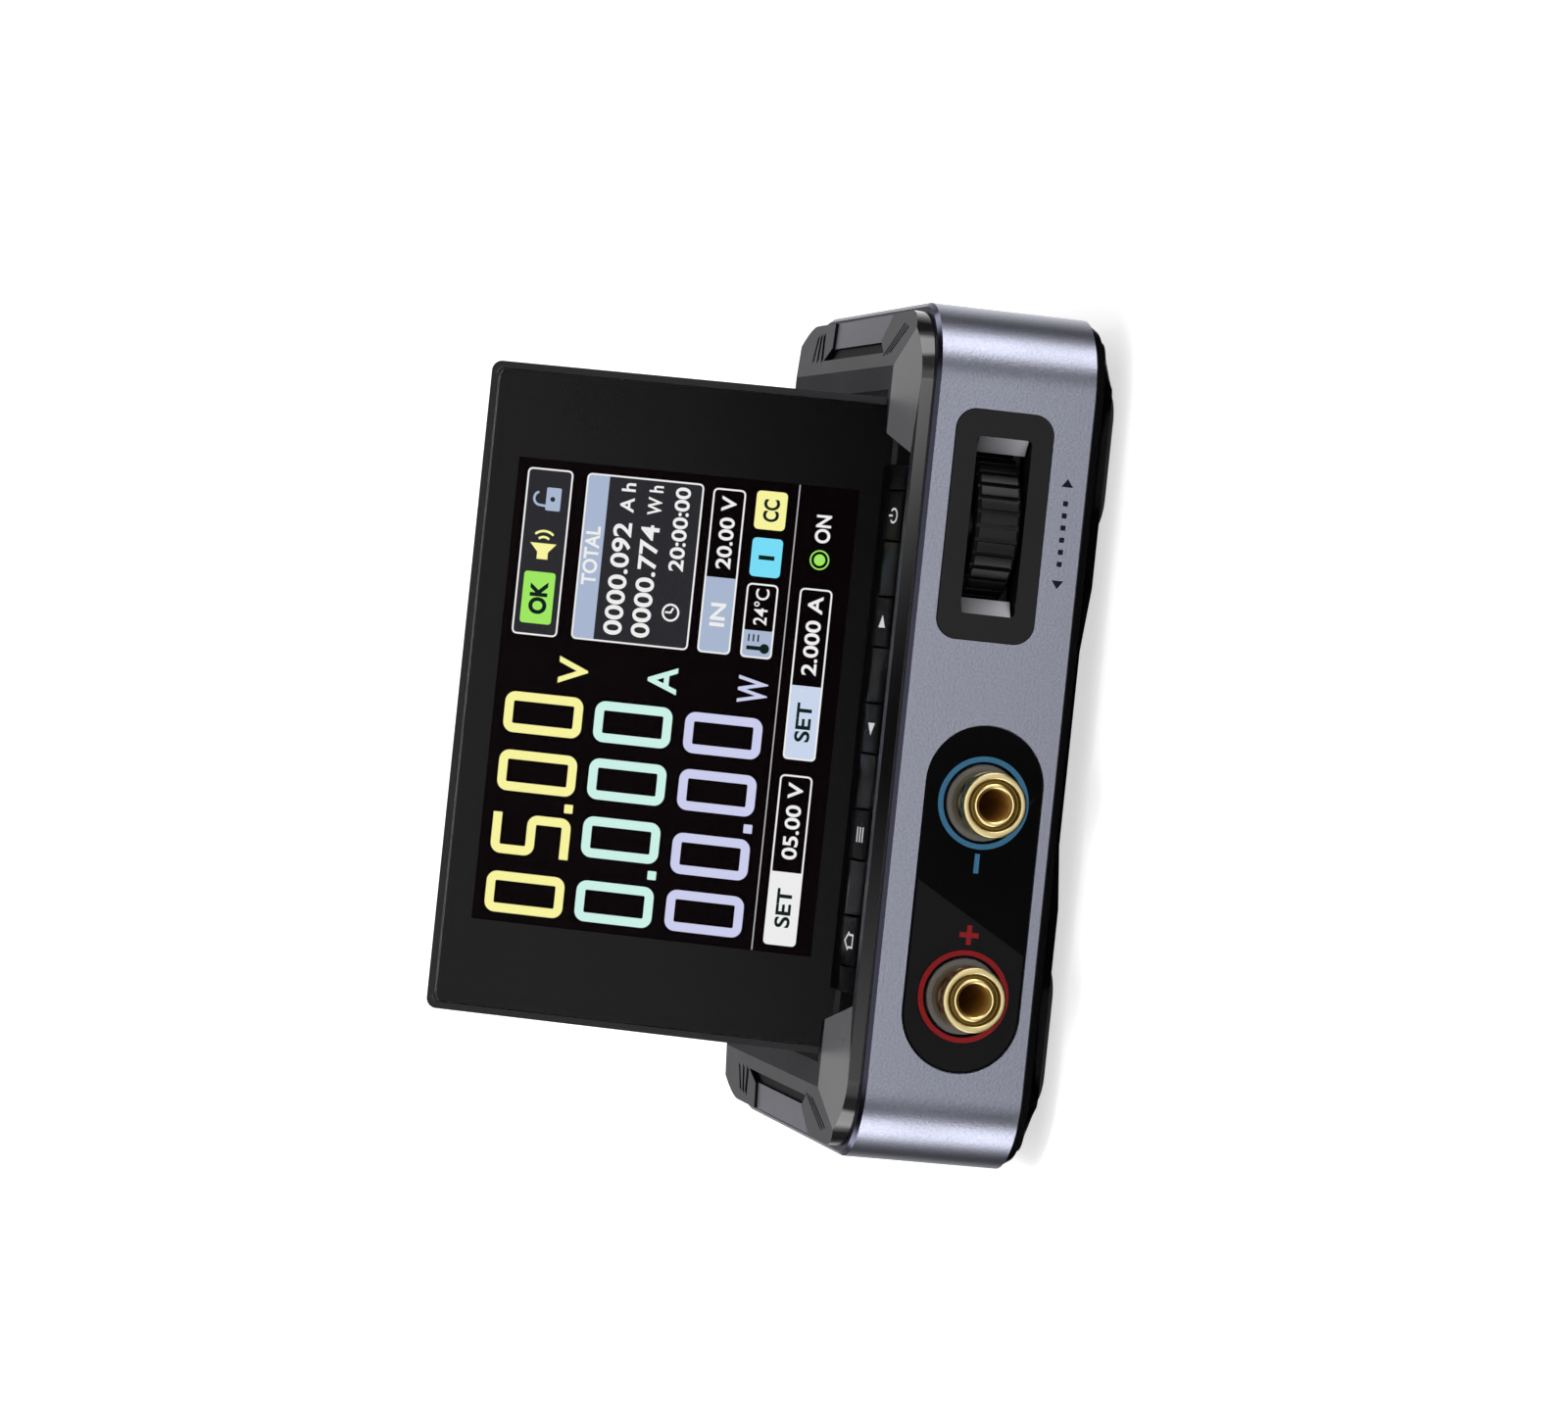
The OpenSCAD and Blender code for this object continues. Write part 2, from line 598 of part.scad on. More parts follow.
module key_board_screws() color("#8b8c90") placed() for (x = screw_post_x) translate([x, screw_post_y, 0]) {
  translate([0, 0, key_board_z - 0.9]) cylinder(h = 0.9, r = 1.5);
  translate([0, 0, key_board_z - 0.1]) cylinder(h = notch_floor - 1.4 - key_board_z, r = key_screw_r);
}

slope_angle = atan((cover_top - lip_top) / (side_slope - lip_inset));
// Draws on the right sloping side: x runs down the slope from the crease, y from the front
module on_slope() translate([body_w / 2 - side_slope, 0, cover_top]) rotate([0, slope_angle, 0]) children();

// A groove across the slope, from one point to another
module slope_groove(a, b, width, deep) translate([a[0], a[1], -deep])
  rotate(atan2(b[1] - a[1], b[0] - a[0])) translate([0, -width / 2, 0])
    cube([norm(b - a), width, deep + 2]);

// The cut-outs of one shoulder: a deep trench, a recess from there through the outer edge, and grooves
// before and behind them
trench_x = [1.9, 3.6];
trench_y = [18.1, body_d - 22.1];
recess_y = [22.1, body_d - 25];
trench_deep = 0.8;
recess_deep = 0.4;
groove_w = [0.42, 0.85];
groove_deep = 0.5;
module shoulder_cuts() on_slope() {
  translate([0, 0, -trench_deep]) linear_extrude(3) polygon([[trench_x[0], trench_y[0]],
    [trench_x[1], recess_y[0]], [trench_x[1], recess_y[1]], [trench_x[0], trench_y[1]]]);
  translate([0, 0, -recess_deep]) linear_extrude(3) polygon([[trench_x[1] - 0.05, recess_y[0]],
    [side_slope + 2, recess_y[0] - 3.4], [side_slope + 2, recess_y[1] + 6.6],
    [trench_x[1] - 0.05, recess_y[1]]]);
  for (k = [0:2]) slope_groove([1.45 + 0.15 * k, trench_y[0] - 0.6 - 1.55 * k],
    [5.6 - 0.25 * k, trench_y[0] - 6.5 - 1.35 * k], groove_w[0], groove_deep);
  for (k = [0:2]) slope_groove([trench_x[0], trench_y[1] + 0.9 + 2.85 * k],
    [5.8 - 0.1 * k, trench_y[1] + 5.4 + 1.65 * k], groove_w[1], groove_deep);
}

// The cover's outer form: a block with round corners under four slopes that meet in mitres
module cover_block() intersection() {
  case_slab(lip_inset, band_top + shadow_gap, cover_h + 1);
  hull() {
    translate([-body_w / 2 + lip_inset, lip_inset, band_top])
      cube([body_w - 2 * lip_inset, body_d - 2 * lip_inset, lip_h]);
    translate([-body_w / 2 + side_slope, front_slope, cover_top - 0.01])
      cube([body_w - 2 * side_slope, body_d - front_slope - rear_slope, 0.01]);
  }
}

// The cover: a bevelled lid with a well for the folded display, a notch for the key bar and two moulded
// shoulders
module top_cover() color("#242426") placed() difference() {
  union() {
    difference() {
      union() {
        cover_block();
        case_slab(lip_inset + 0.3, band_top, shadow_gap + 0.1);
      }
      hull() {
        case_slab(inner_inset, band_top - 1, 1.2);
        translate([-body_w / 2 + side_slope + 1, front_slope + 1, cover_top - shell_wall - 0.1])
          cube([body_w - 2 * side_slope - 2, body_d - front_slope - rear_slope - 2, 0.1]);
      }
    }
    spigot(band_top - 2, 2.2);
    translate([-well_x - shell_wall, well_y0 - shell_wall, tub_bottom])
      cube([2 * (well_x + shell_wall), well_y1 - well_y0 + 2 * shell_wall,
        cover_top - shell_wall - tub_bottom]);
    translate([-notch_x1 - 1.5, 3.4, notch_floor - 1.2]) cube([2 * notch_x1 + 3, well_y0 - 4, 1.2]);
    for (x = screw_post_x) translate([x, screw_post_y, key_board_z + small_board_t])
      cylinder(h = notch_floor - 0.5 - key_board_z - small_board_t, r = boss_r);
    both_sides() {
      for (y = column_y) translate([column_x, y, column_top])
        cylinder(h = lip_top - 0.4 - column_top, r = column_r);
      translate([bracket_hole_x, hinge_y, bracket_z + bracket_t])
        cylinder(h = band_top - bracket_z, r = boss_r);
      intersection() {
        cover_block();
        translate([bracket_hole_x, hinge_y, band_top]) cylinder(h = cover_h, r = boss_r);
      }
    }
  }
  translate([-well_x, well_y0, well_floor]) cube([2 * well_x, well_y1 - well_y0, 20]);
  translate([0, 0, notch_floor]) linear_extrude(cover_h) polygon([[-notch_x0, lip_inset + strip_d],
    [notch_x0, lip_inset + strip_d], [notch_x1, well_y0 + 1], [-notch_x1, well_y0 + 1]]);
  for (x = key_x) translate([x - key_w / 2 - slack, key_y0 - slack, notch_floor - 3])
    cube([key_w + 2 * slack, key_d + 2 * slack, 5]);
  for (x = screw_post_x) translate([x, screw_post_y, key_board_z])
    cylinder(h = notch_floor - 1.1 - key_board_z, r = key_screw_r + thread_gap);
  both_sides() {
    shoulder_cuts();
    for (y = column_y) translate([column_x, y, column_top - 1]) cylinder(h = 6, r = screw_r + thread_gap);
    translate([well_x - 1, hinge_y, hinge_z]) rotate([0, 90, 0])
      cylinder(h = shell_wall + 2, r = pin_r + 0.25);
    translate([bracket_x - 0.2, hinge_y, hinge_z]) rotate([0, 90, 0])
      cylinder(h = barrel_l + 0.6, r = barrel_r + slack);
    translate([bracket_hole_x, hinge_y, bracket_z]) cylinder(h = 4.4, r = small_screw_r + thread_gap);
    translate([bracket_x - 0.2, hinge_y - barrel_r - slack, bracket_z])
      cube([bracket_t + 0.4, 2 * (barrel_r + slack), hinge_z - bracket_z]);
  }
}

// The bar in the notch, sloping to the front, slotted for the keys
module key_bar() color("#1d1d1f") placed() difference() {
  translate([-bar_w / 2, 0, 0]) rotate([90, 0, 90]) linear_extrude(bar_w)
    polygon([bar_front, [bar_edge_y, bar_top], [well_y0 - fit, bar_top], [well_y0 - fit, notch_floor]]);
  for (x = key_x) translate([x - key_w / 2 - 0.2, key_y0 - 0.2, notch_floor - 1])
    cube([key_w + 0.4, key_d + 0.4, 5]);
}

// A key: a cap whose top falls to a low upright front, and a flange that keeps it under the cover
module key(k) color("#2a2a2c") placed() translate([key_x[k], 0, 0]) {
  translate([-key_w / 2, 0, 0]) rotate([90, 0, 90]) linear_extrude(key_w)
    polygon([[key_y0, key_flange_z - 0.1], [key_y0 + key_d, key_flange_z - 0.1], [key_y0 + key_d, key_top],
      [bar_edge_y, key_top], [key_y0, key_top - key_fall]]);
  translate([-key_w / 2 - 0.8, inner_inset + 0.2, key_stem_z])
    cube([key_w + 1.6, key_y0 + key_d + 0.3 - inner_inset, key_flange_z - key_stem_z]);
}
module key_home() key(0);
module key_memory() key(1);
module key_left() key(2);
module key_right() key(3);
module key_output() key(4);

// A steel bracket on each side: a barrel that grips the hinge pin, a leg and a foot screwed to the cover
bracket_hole_x = bracket_x + 4;
module hinge_brackets() color("#9b9ca3") placed() both_sides() difference() {
  union() {
    translate([bracket_x, hinge_y, hinge_z]) rotate([0, 90, 0]) cylinder(h = barrel_l, r = barrel_r);
    translate([bracket_x, hinge_y - barrel_r, bracket_z])
      cube([bracket_t, 2 * barrel_r, hinge_z - bracket_z]);
    translate([bracket_x, hinge_y - barrel_r, bracket_z]) cube([5.6, 2 * barrel_r, bracket_t]);
  }
  translate([bracket_x - 1, hinge_y, hinge_z]) rotate([0, 90, 0])
    cylinder(h = barrel_l + 2, r = pin_r + running_gap);
  translate([bracket_hole_x, hinge_y, bracket_z - 1]) cylinder(h = 4, r = small_screw_r + 0.2);
}

module bracket_screws() color("#8b8c90") placed() both_sides() translate([bracket_hole_x, hinge_y, 0]) {
  translate([0, 0, bracket_z - 1]) cylinder(h = 1, r = 1.8);
  translate([0, 0, bracket_z - 0.1]) cylinder(h = 4.2, r = small_screw_r);
}

module hinge_pins() color("#b9bac0") raised() both_sides()
  translate([bracket_x + barrel_l - pin_len, 0, 0]) rotate([0, 90, 0]) cylinder(h = pin_len, r = pin_r);

// The display's outline seen from the front, and its section with the round hinge end
module display_plan(inset, y0) translate([0, (y0 + display_l - inset) / 2])
  rounded(display_w - 2 * inset, display_l - inset - y0, max(display_r - inset / 2, 0.3));
module display_section() {
  circle(hinge_r);
  translate([0, -hinge_r]) polygon([[0, 0], [display_l - 0.8, 0], [display_l, 0.8], [display_l, display_t],
    [0, display_t]]);
}

back_y0 = hinge_r + 1;
module display_body() intersection() {
  translate([-display_w / 2, 0, 0]) rotate([90, 0, 90]) linear_extrude(display_w) display_section();
  translate([0, 0, -hinge_r - 1]) linear_extrude(display_t + 2) display_plan(0, -hinge_r - 6);
}

// The frame: rim, side walls and the round hinge end in one moulding
module display_frame() color("#1a1a1c") raised() difference() {
  display_body();
  translate([0, 0, hinge_r - glass_t - 0.05]) linear_extrude(2) display_plan(glass_rim, glass_y0);
  translate([0, 0, -hinge_r - 1]) linear_extrude(display_t + 2)
    display_plan(glass_rim + frame_wall, back_y0 - 0.2);
  translate([-display_w, back_y0, -hinge_r - 1]) cube([2 * display_w, display_l, 1 + back_t + 0.05]);
  both_sides() translate([bracket_x + barrel_l - pin_len - 0.2, 0, 0]) rotate([0, 90, 0])
    cylinder(h = pin_len, r = pin_r + thread_gap);
}

module display_back() color("#1a1a1c") raised() difference() {
  intersection() {
    display_body();
    translate([-display_w, back_y0 + 0.15, -hinge_r - 1]) cube([2 * display_w, display_l, 1 + back_t]);
  }
  for (x = [-1, 1], y = display_screw_y) translate([x * display_screw_x, y, 0]) {
    translate([0, 0, -hinge_r - 1]) cylinder(h = 3, r = 0.9);
    translate([0, 0, -hinge_r - 1]) cylinder(h = 1.7, r = 1.7);
  }
  for (k = [-3:3]) translate([k * 6, display_l / 2 + 6, -hinge_r - 0.01]) linear_extrude(0.5)
    pill(2, 0.8);
}
display_screw_x = display_w / 2 - 4;
display_screw_y = [8, display_l - 4.5];

module display_screws() color("#6e6f73") raised() for (x = [-1, 1], y = display_screw_y)
  translate([x * display_screw_x, y, 0]) {
    translate([0, 0, -hinge_r]) cylinder(h = 0.65, r = 1.6);
    translate([0, 0, -hinge_r + 0.6]) cylinder(h = 2, r = 0.8);
  }

module cover_glass() color("#060607") raised()
  translate([0, 0, hinge_r - glass_t - 0.05]) linear_extrude(glass_t)
    display_plan(glass_rim + 0.05, glass_y0 + 0.05);

module lcd_module() color("#2a2b33") raised()
  translate([-lcd_x, back_y0 + 0.1, hinge_r - glass_t - 0.1 - 2.4])
    cube([2 * lcd_x, screen_y + screen_h / 2 + 2.2 - back_y0, 2.4]);

display_board_y = [display_screw_y[0] + 1, display_screw_y[1] - 3];
module display_board() color("#1f5a3c") raised()
  translate([-lcd_x, display_board_y[0], -hinge_r + back_t + 0.2])
    cube([2 * lcd_x, display_board_y[1] - display_board_y[0], 0.8]);

bottom_shell();
rubber_feet();
case_screws();
frame_ring();
terminal_panel();
terminal_ring_positive();
terminal_ring_negative();
jack_insulators();
jack_positive();
jack_negative();
jack_washers();
jack_nuts();
output_straps();
encoder_bezel();
wheel_carrier();
wheel_axle();
thumbwheel();
encoder_switch();
encoder_board();
main_board();
board_screws();
power_inductor();
capacitors();
power_transistors();
heat_spreader();
control_chips();
buzzer();
dc_inlet();
usb_c_socket();
micro_usb_socket();
key_board();
key_switches();
key_board_screws();
top_cover();
key_bar();
key_home();
key_memory();
key_left();
key_right();
key_output();
hinge_brackets();
bracket_screws();
hinge_pins();
display_frame();
lcd_module();
display_board();
cover_glass();
display_back();
display_screws();
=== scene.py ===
"""A small laboratory power supply, dressed piece by piece in the order in which it is put together.

The case is an aluminium band between a moulded tray and a moulded cover. Two gold sockets and a thumbwheel
sit in the band's front face, five keys lie in front of the screen, and the screen stands up out of a well
in the cover."""

import json
import math

import bmesh
import bpy
from mathutils import Matrix, Vector


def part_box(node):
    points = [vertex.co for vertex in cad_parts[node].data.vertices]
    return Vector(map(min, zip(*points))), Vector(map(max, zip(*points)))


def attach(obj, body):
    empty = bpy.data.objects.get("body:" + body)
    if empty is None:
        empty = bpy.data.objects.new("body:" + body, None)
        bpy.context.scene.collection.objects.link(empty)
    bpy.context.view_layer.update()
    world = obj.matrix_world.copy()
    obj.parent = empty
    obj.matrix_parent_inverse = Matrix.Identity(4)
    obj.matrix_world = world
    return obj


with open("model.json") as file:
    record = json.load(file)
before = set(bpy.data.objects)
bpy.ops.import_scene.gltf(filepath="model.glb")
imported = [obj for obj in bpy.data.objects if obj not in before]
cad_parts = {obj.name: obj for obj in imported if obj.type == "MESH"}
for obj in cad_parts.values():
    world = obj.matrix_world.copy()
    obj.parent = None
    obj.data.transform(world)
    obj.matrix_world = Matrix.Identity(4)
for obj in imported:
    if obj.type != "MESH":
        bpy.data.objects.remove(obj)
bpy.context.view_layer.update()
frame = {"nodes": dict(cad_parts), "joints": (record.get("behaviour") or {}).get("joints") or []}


# Tray
# The tray closes the case from below. It is moulded in black ABS from a polished tool, so it is glossy. It
# has a raised arch in the middle, two banks of vent slots and a countersunk hole for each case screw.

MM = 0.001
WELD_GAP = 0.002


def paint(red, green, blue):
    """The linear colour of a paint that is named by its screen values, 0 to 255."""
    levels = [channel / 255 for channel in (red, green, blue)]
    linear = [c / 12.92 if c <= 0.04045 else ((c + 0.055) / 1.055) ** 2.4 for c in levels]
    return (*linear, 1.0)


def new_group(name, inputs, outputs):
    """A shader node group with named sockets: inputs as {name: preset}, outputs as {name: socket kind}."""
    group = bpy.data.node_groups.new(name, "ShaderNodeTree")
    for label, preset in inputs.items():
        kind = "NodeSocketColor" if isinstance(preset, tuple) else "NodeSocketFloat"
        socket = group.interface.new_socket(name=label, in_out="INPUT", socket_type=kind)
        socket.default_value = preset
    for label, kind in outputs.items():
        group.interface.new_socket(name=label, in_out="OUTPUT", socket_type=kind)
    return group, group.nodes.new("NodeGroupInput"), group.nodes.new("NodeGroupOutput")


def node(tree, kind, links=(), **settings):
    """A new node: settings are its properties, links are pairs of an input and a value or output socket."""
    made = tree.nodes.new(kind)
    for name, value in settings.items():
        setattr(made, name, value)
    for key, value in links:
        if isinstance(value, bpy.types.NodeSocket):
            tree.links.new(value, made.inputs[key])
        else:
            made.inputs[key].default_value = value
    return made


def maths(tree, operation, one, other, **settings):
    """The outcome of one operation on two values or output sockets of a tree."""
    return node(tree, "ShaderNodeMath", [(0, one), (1, other)], operation=operation, **settings).outputs[0]


def brightened(tree, colour, value):
    """A colour with its brightness multiplied by a value."""
    return node(tree, "ShaderNodeHueSaturation", [("Color", colour), ("Value", value)]).outputs["Color"]


def centred(tree, value, spread):
    """A noise value of 0 to 1 turned into an offset of plus or minus the spread."""
    doubled = maths(tree, "MULTIPLY", maths(tree, "SUBTRACT", value, 0.5), 2.0)
    return maths(tree, "MULTIPLY", doubled, spread)


def surface_grain():
    """The fine grain of a tool or of blasting over a slow mottle, as a colour, a roughness and a height."""
    group, given, made = new_group(
        "surface_grain",
        {"Colour": (0.5, 0.5, 0.5, 1.0), "Colour Spread": 0.05, "Roughness": 0.5, "Roughness Spread": 0.05,
         "Grains per Metre": 4000.0, "Mottles per Metre": 90.0},
        {"Colour": "NodeSocketColor", "Roughness": "NodeSocketFloat", "Height": "NodeSocketFloat"})
    place = node(group, "ShaderNodeTexCoord").outputs["Object"]
    grain = node(group, "ShaderNodeTexNoise",
                 [("Vector", place), ("Scale", given.outputs["Grains per Metre"]), ("Detail", 2.0)])
    mottle = node(group, "ShaderNodeTexNoise",
                  [("Vector", place), ("Scale", given.outputs["Mottles per Metre"]), ("Detail", 3.0)])
    shade = centred(group, grain.outputs["Fac"], given.outputs["Colour Spread"])
    tint = brightened(group, given.outputs["Colour"], maths(group, "ADD", shade, 1.0))
    drift = centred(group, mottle.outputs["Fac"], given.outputs["Roughness Spread"])
    rough = maths(group, "ADD", given.outputs["Roughness"], drift, use_clamp=True)
    group.links.new(tint, made.inputs["Colour"])
    group.links.new(rough, made.inputs["Roughness"])
    group.links.new(grain.outputs["Fac"], made.inputs["Height"])
    return group


GRAIN = surface_grain()


def new_material(name):
    """An empty material, its node tree and its shader."""
    material = bpy.data.materials.new(name)
    material.use_nodes = True
    return material, material.node_tree, material.node_tree.nodes["Principled BSDF"]


def add_grain(tree, colour, roughness, grains, spread, drift, mottles):
    """The shared grain in a material's tree, with its settings."""
    return node(tree, "ShaderNodeGroup",
                [("Colour", colour), ("Colour Spread", spread), ("Roughness", roughness),
                 ("Roughness Spread", drift), ("Grains per Metre", grains), ("Mottles per Metre", mottles)],
                node_tree=GRAIN)


def set_inputs(shader, **settings):
    """Sets plain values of a shader's sockets. Their names are written with underscores for spaces."""
    for label, value in settings.items():
        shader.inputs[label.replace("_", " ")].default_value = value


def finish(name, colour, roughness, grains=4000, spread=0.05, drift=0.05, relief=0.0, mottles=90,
           **settings):
    """A material with the shared grain: relief is its height in millimetres, settings are plain sockets."""
    material, tree, shader = new_material(name)
    grain = add_grain(tree, colour, roughness, grains, spread, drift, mottles)
    tree.links.new(grain.outputs["Colour"], shader.inputs["Base Color"])
    tree.links.new(grain.outputs["Roughness"], shader.inputs["Roughness"])
    if relief:
        bump = node(tree, "ShaderNodeBump", [("Distance", relief * MM), ("Height", grain.outputs["Height"])])
        tree.links.new(bump.outputs["Normal"], shader.inputs["Normal"])
    set_inputs(shader, **settings)
    return material


def dress(name, material, edge=0.0, crease=30):
    """Gives a CAD node its material, smooth round faces and, where edge is set, a broken edge that wide."""
    piece = frame["nodes"][name]
    piece.data.materials.clear()
    piece.data.materials.append(material)
    for face in piece.data.polygons:
        face.use_smooth = True
        face.material_index = 0
    if edge:
        weld = piece.modifiers.new("joined", "WELD")
        weld.merge_threshold = WELD_GAP * MM
        broken = piece.modifiers.new("broken edges", "BEVEL")
        broken.width = edge * MM
        broken.segments = 2
        broken.limit_method = "ANGLE"
        broken.angle_limit = math.radians(crease)
        broken.miter_outer = "MITER_ARC"
        even = piece.modifiers.new("even shading", "WEIGHTED_NORMAL")
        even.keep_sharp = True
        even.weight = 100
    else:
        piece.data.set_sharp_from_angle(angle=math.radians(crease))
    return piece


def dress_faces(piece, material, chosen):
    """Gives the faces that chosen(centre in mm, normal) picks a material of their own."""
    piece.data.materials.append(material)
    for face in piece.data.polygons:
        if chosen(face.center / MM, face.normal):
            face.material_index = len(piece.data.materials) - 1


tray_gloss = finish("tray gloss black", paint(21, 21, 23), 0.2, grains=2500, spread=0.12, mottles=60,
                    Coat_Weight=0.3, Coat_Roughness=0.06)
dress("bottom_shell", tray_gloss, edge=0.12)


# Feet
# Four pill-shaped pads of black rubber, die-cut from sheet. They are glued into pockets of the tray's two
# rails and keep the case from sliding.

foot_rubber = finish("foot rubber", paint(29, 29, 31), 0.75, grains=5000, spread=0.25, relief=0.03)
dress("rubber_feet", foot_rubber, edge=0.2)


# Case screws
# Four long socket-head screws of zinc-plated steel come up through the tray. They thread into columns of the
# cover, so that the band is held between tray and cover.

screw_zinc = finish("zinc plated screw", paint(150, 151, 156), 0.32, grains=3000, spread=0.1, Metallic=1.0)
dress("case_screws", screw_zinc)


# Aluminium band
# One ring of extruded aluminium, bead blasted and anodised grey with a breath of violet. Its top edge is cut
# with a diamond tool after anodising, so the chamfer is bright. The marks below the thumbwheel are dark ink.

band_grey = finish("blasted grey anodising", paint(134, 136, 149), 0.31, grains=3200, spread=0.24,
                   relief=0.014, Metallic=1.0)
band = dress("frame_ring", band_grey)
band_low, band_high = (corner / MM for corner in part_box("frame_ring"))
cut_bright = finish("diamond cut edge", paint(140, 138, 164), 0.2, grains=6000, drift=0.03, Metallic=1.0)
chamfer_z = band_high.z - 0.6
dress_faces(band, cut_bright, lambda at, normal: at.z > chamfer_z and 0.3 < normal.z < 0.9)


def flat_plate(points, low, high):
    """A closed plate over one outline: (vertices, faces) with the outline's points at both heights."""
    count = len(points)
    rows = [(x, y, z) for z in (low, high) for x, y in points]
    faces = [tuple(reversed(range(count))), tuple(range(count, 2 * count))]
    faces += [(k, (k + 1) % count, count + (k + 1) % count, count + k) for k in range(count)]
    return rows, faces


def arc(centre, radius, start=0, end=345, steps=23):
    """Points along an arc, with its start and end in degrees. Without them it is a whole circle."""
    angles = [math.radians(start + (end - start) * k / steps) for k in range(steps + 1)]
    return [(centre[0] + radius * math.cos(a), centre[1] + radius * math.sin(a)) for a in angles]


def rounded_box(left, bottom, right, top, radius):
    """The outline of an upright rectangle with round corners."""
    corners = ((right, top, 0), (left, top, 90), (left, bottom, 180), (right, bottom, 270))
    points = []
    for x, y, turn in corners:
        centre = (x - radius if x == right else x + radius, y - radius if y == top else y + radius)
        points += arc(centre, radius, turn, turn + 90, 5)
    return points


SHARPEST = 0.3


def ribbon(points, width, low, high, closed=False):
    """A closed strip of even width along a line of points, mitred at its bends: (vertices, faces)."""
    count = len(points)
    sides = []
    for k, point in enumerate(points):
        here = Vector(point)
        before = Vector(points[k - 1]) if closed or k else None
        after = Vector(points[(k + 1) % count]) if closed or k < count - 1 else None
        way_in = (here - before).normalized() if before is not None else (after - here).normalized()
        way_out = (after - here).normalized() if after is not None else way_in
        across = Vector((-(way_in.y + way_out.y), way_in.x + way_out.x)).normalized()
        reach = width / 2 / max(SHARPEST, across.dot(Vector((-way_in.y, way_in.x))))
        sides.append((here + across * reach, here - across * reach))
    rows = [(p.x, p.y, z) for p_pair in sides for p in p_pair for z in (low, high)]
    faces = []
    for k in range(count if closed else count - 1):
        a, b = 4 * k, 4 * ((k + 1) % count)
        faces += [(a, b, b + 1, a + 1), (a + 1, b + 1, b + 3, a + 3), (a + 3, b + 3, b + 2, a + 2),
                  (a + 2, b + 2, b, a)]
    if not closed:
        end = 4 * (count - 1)
        faces += [(0, 1, 3, 2), (end, end + 2, end + 3, end + 1)]
    return rows, faces


def printed(name, shapes, place, material, body):
    """One piece made of closed shapes, in millimetres, set in place and carried by a body."""
    mesh = bpy.data.meshes.new(name)
    build = bmesh.new()
    for rows, faces in shapes:
        vertices = [build.verts.new(row) for row in rows]
        for face in faces:
            build.faces.new([vertices[k] for k in face])
    bmesh.ops.recalc_face_normals(build, faces=build.faces)
    build.transform(place @ Matrix.Scale(MM, 4))
    build.to_mesh(mesh)
    build.free()
    mesh.materials.append(material)
    piece = bpy.data.objects.new(name, mesh)
    bpy.context.scene.collection.objects.link(piece)
    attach(piece, body)


def on_front(x, z, y):
    """Stands a drawing up on a face that looks to the front, in millimetres: across is +X, up is +Z."""
    return Matrix.Translation(Vector((x, y, z)) * MM) @ Matrix.Rotation(math.radians(90), 4, "X")


INK = 0.02
wheel_low, wheel_high = (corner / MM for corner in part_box("thumbwheel"))
wheel_x = (wheel_low.x + wheel_high.x) / 2
mark_z = band_low.z + 2.35
dot_pitch, dot_half, dot_round = 1.49, 0.32, 0.12
dot_places = [dot_pitch * (k - 2.5) for k in range(6)]
dots = [flat_plate(rounded_box(x - dot_half, -dot_half, x + dot_half, dot_half, dot_round), 0, INK)
        for x in dot_places]
arrow_out, arrow_tip, arrow_half = 5.75, 6.78, 0.75
arrows = [flat_plate([(s * arrow_tip, 0), (s * arrow_out, arrow_half), (s * arrow_out, -arrow_half)], 0, INK)
          for s in (-1, 1)]
band_ink = finish("dark ink", paint(26, 26, 42), 0.6, grains=6000, spread=0.2, Specular_IOR_Level=0.1)
printed("wheel_marks", dots + arrows, on_front(wheel_x, mark_z, band_low.y), band_ink, "base")


# Terminal panel
# A pill of black acrylic glued into a pocket of the band, printed with a coloured ring round each socket, a
# red plus and a blue minus. Its left end is painted lighter grey up to a slanted line, as a painted
# reflection on the gloss.

panel_gloss = finish("panel acrylic", paint(8, 8, 9), 0.16, grains=3000, spread=0.1, drift=0.04,
                     Specular_IOR_Level=0.03)
dress("terminal_panel", panel_gloss, edge=0.08)
ring_red = finish("red ring", paint(158, 34, 38), 0.4, spread=0.12, Specular_IOR_Level=0.1)
ring_blue = finish("blue ring", paint(72, 132, 172), 0.4, spread=0.12, Specular_IOR_Level=0.1)
dress("terminal_ring_positive", ring_red)
dress("terminal_ring_negative", ring_blue)

panel_low, panel_high = (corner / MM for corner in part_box("terminal_panel"))
panel_x = (panel_low.x + panel_high.x) / 2
panel_z = (panel_low.z + panel_high.z) / 2
panel_rim = 0.25
panel_r = (panel_high.z - panel_low.z) / 2 - panel_rim
ring_low, ring_high = (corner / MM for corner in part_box("terminal_ring_positive"))
ring_x = (ring_low.x + ring_high.x) / 2 - panel_x
# The outline of the painted reflection: the panel's left end up to a slanted line, with a hole round the
# ring.
slant_foot, slant_head = -6.3, 1.9
left_end = -(panel_high.x - panel_low.x) / 2 + panel_rim + panel_r
reflection_patch = arc((left_end, 0), panel_r, 90, 270, 24) + [(slant_foot, -panel_r), (slant_head, panel_r)]
reflection_patch_hole = arc((ring_x, 0), 5.75, 0, 352.5, 47)


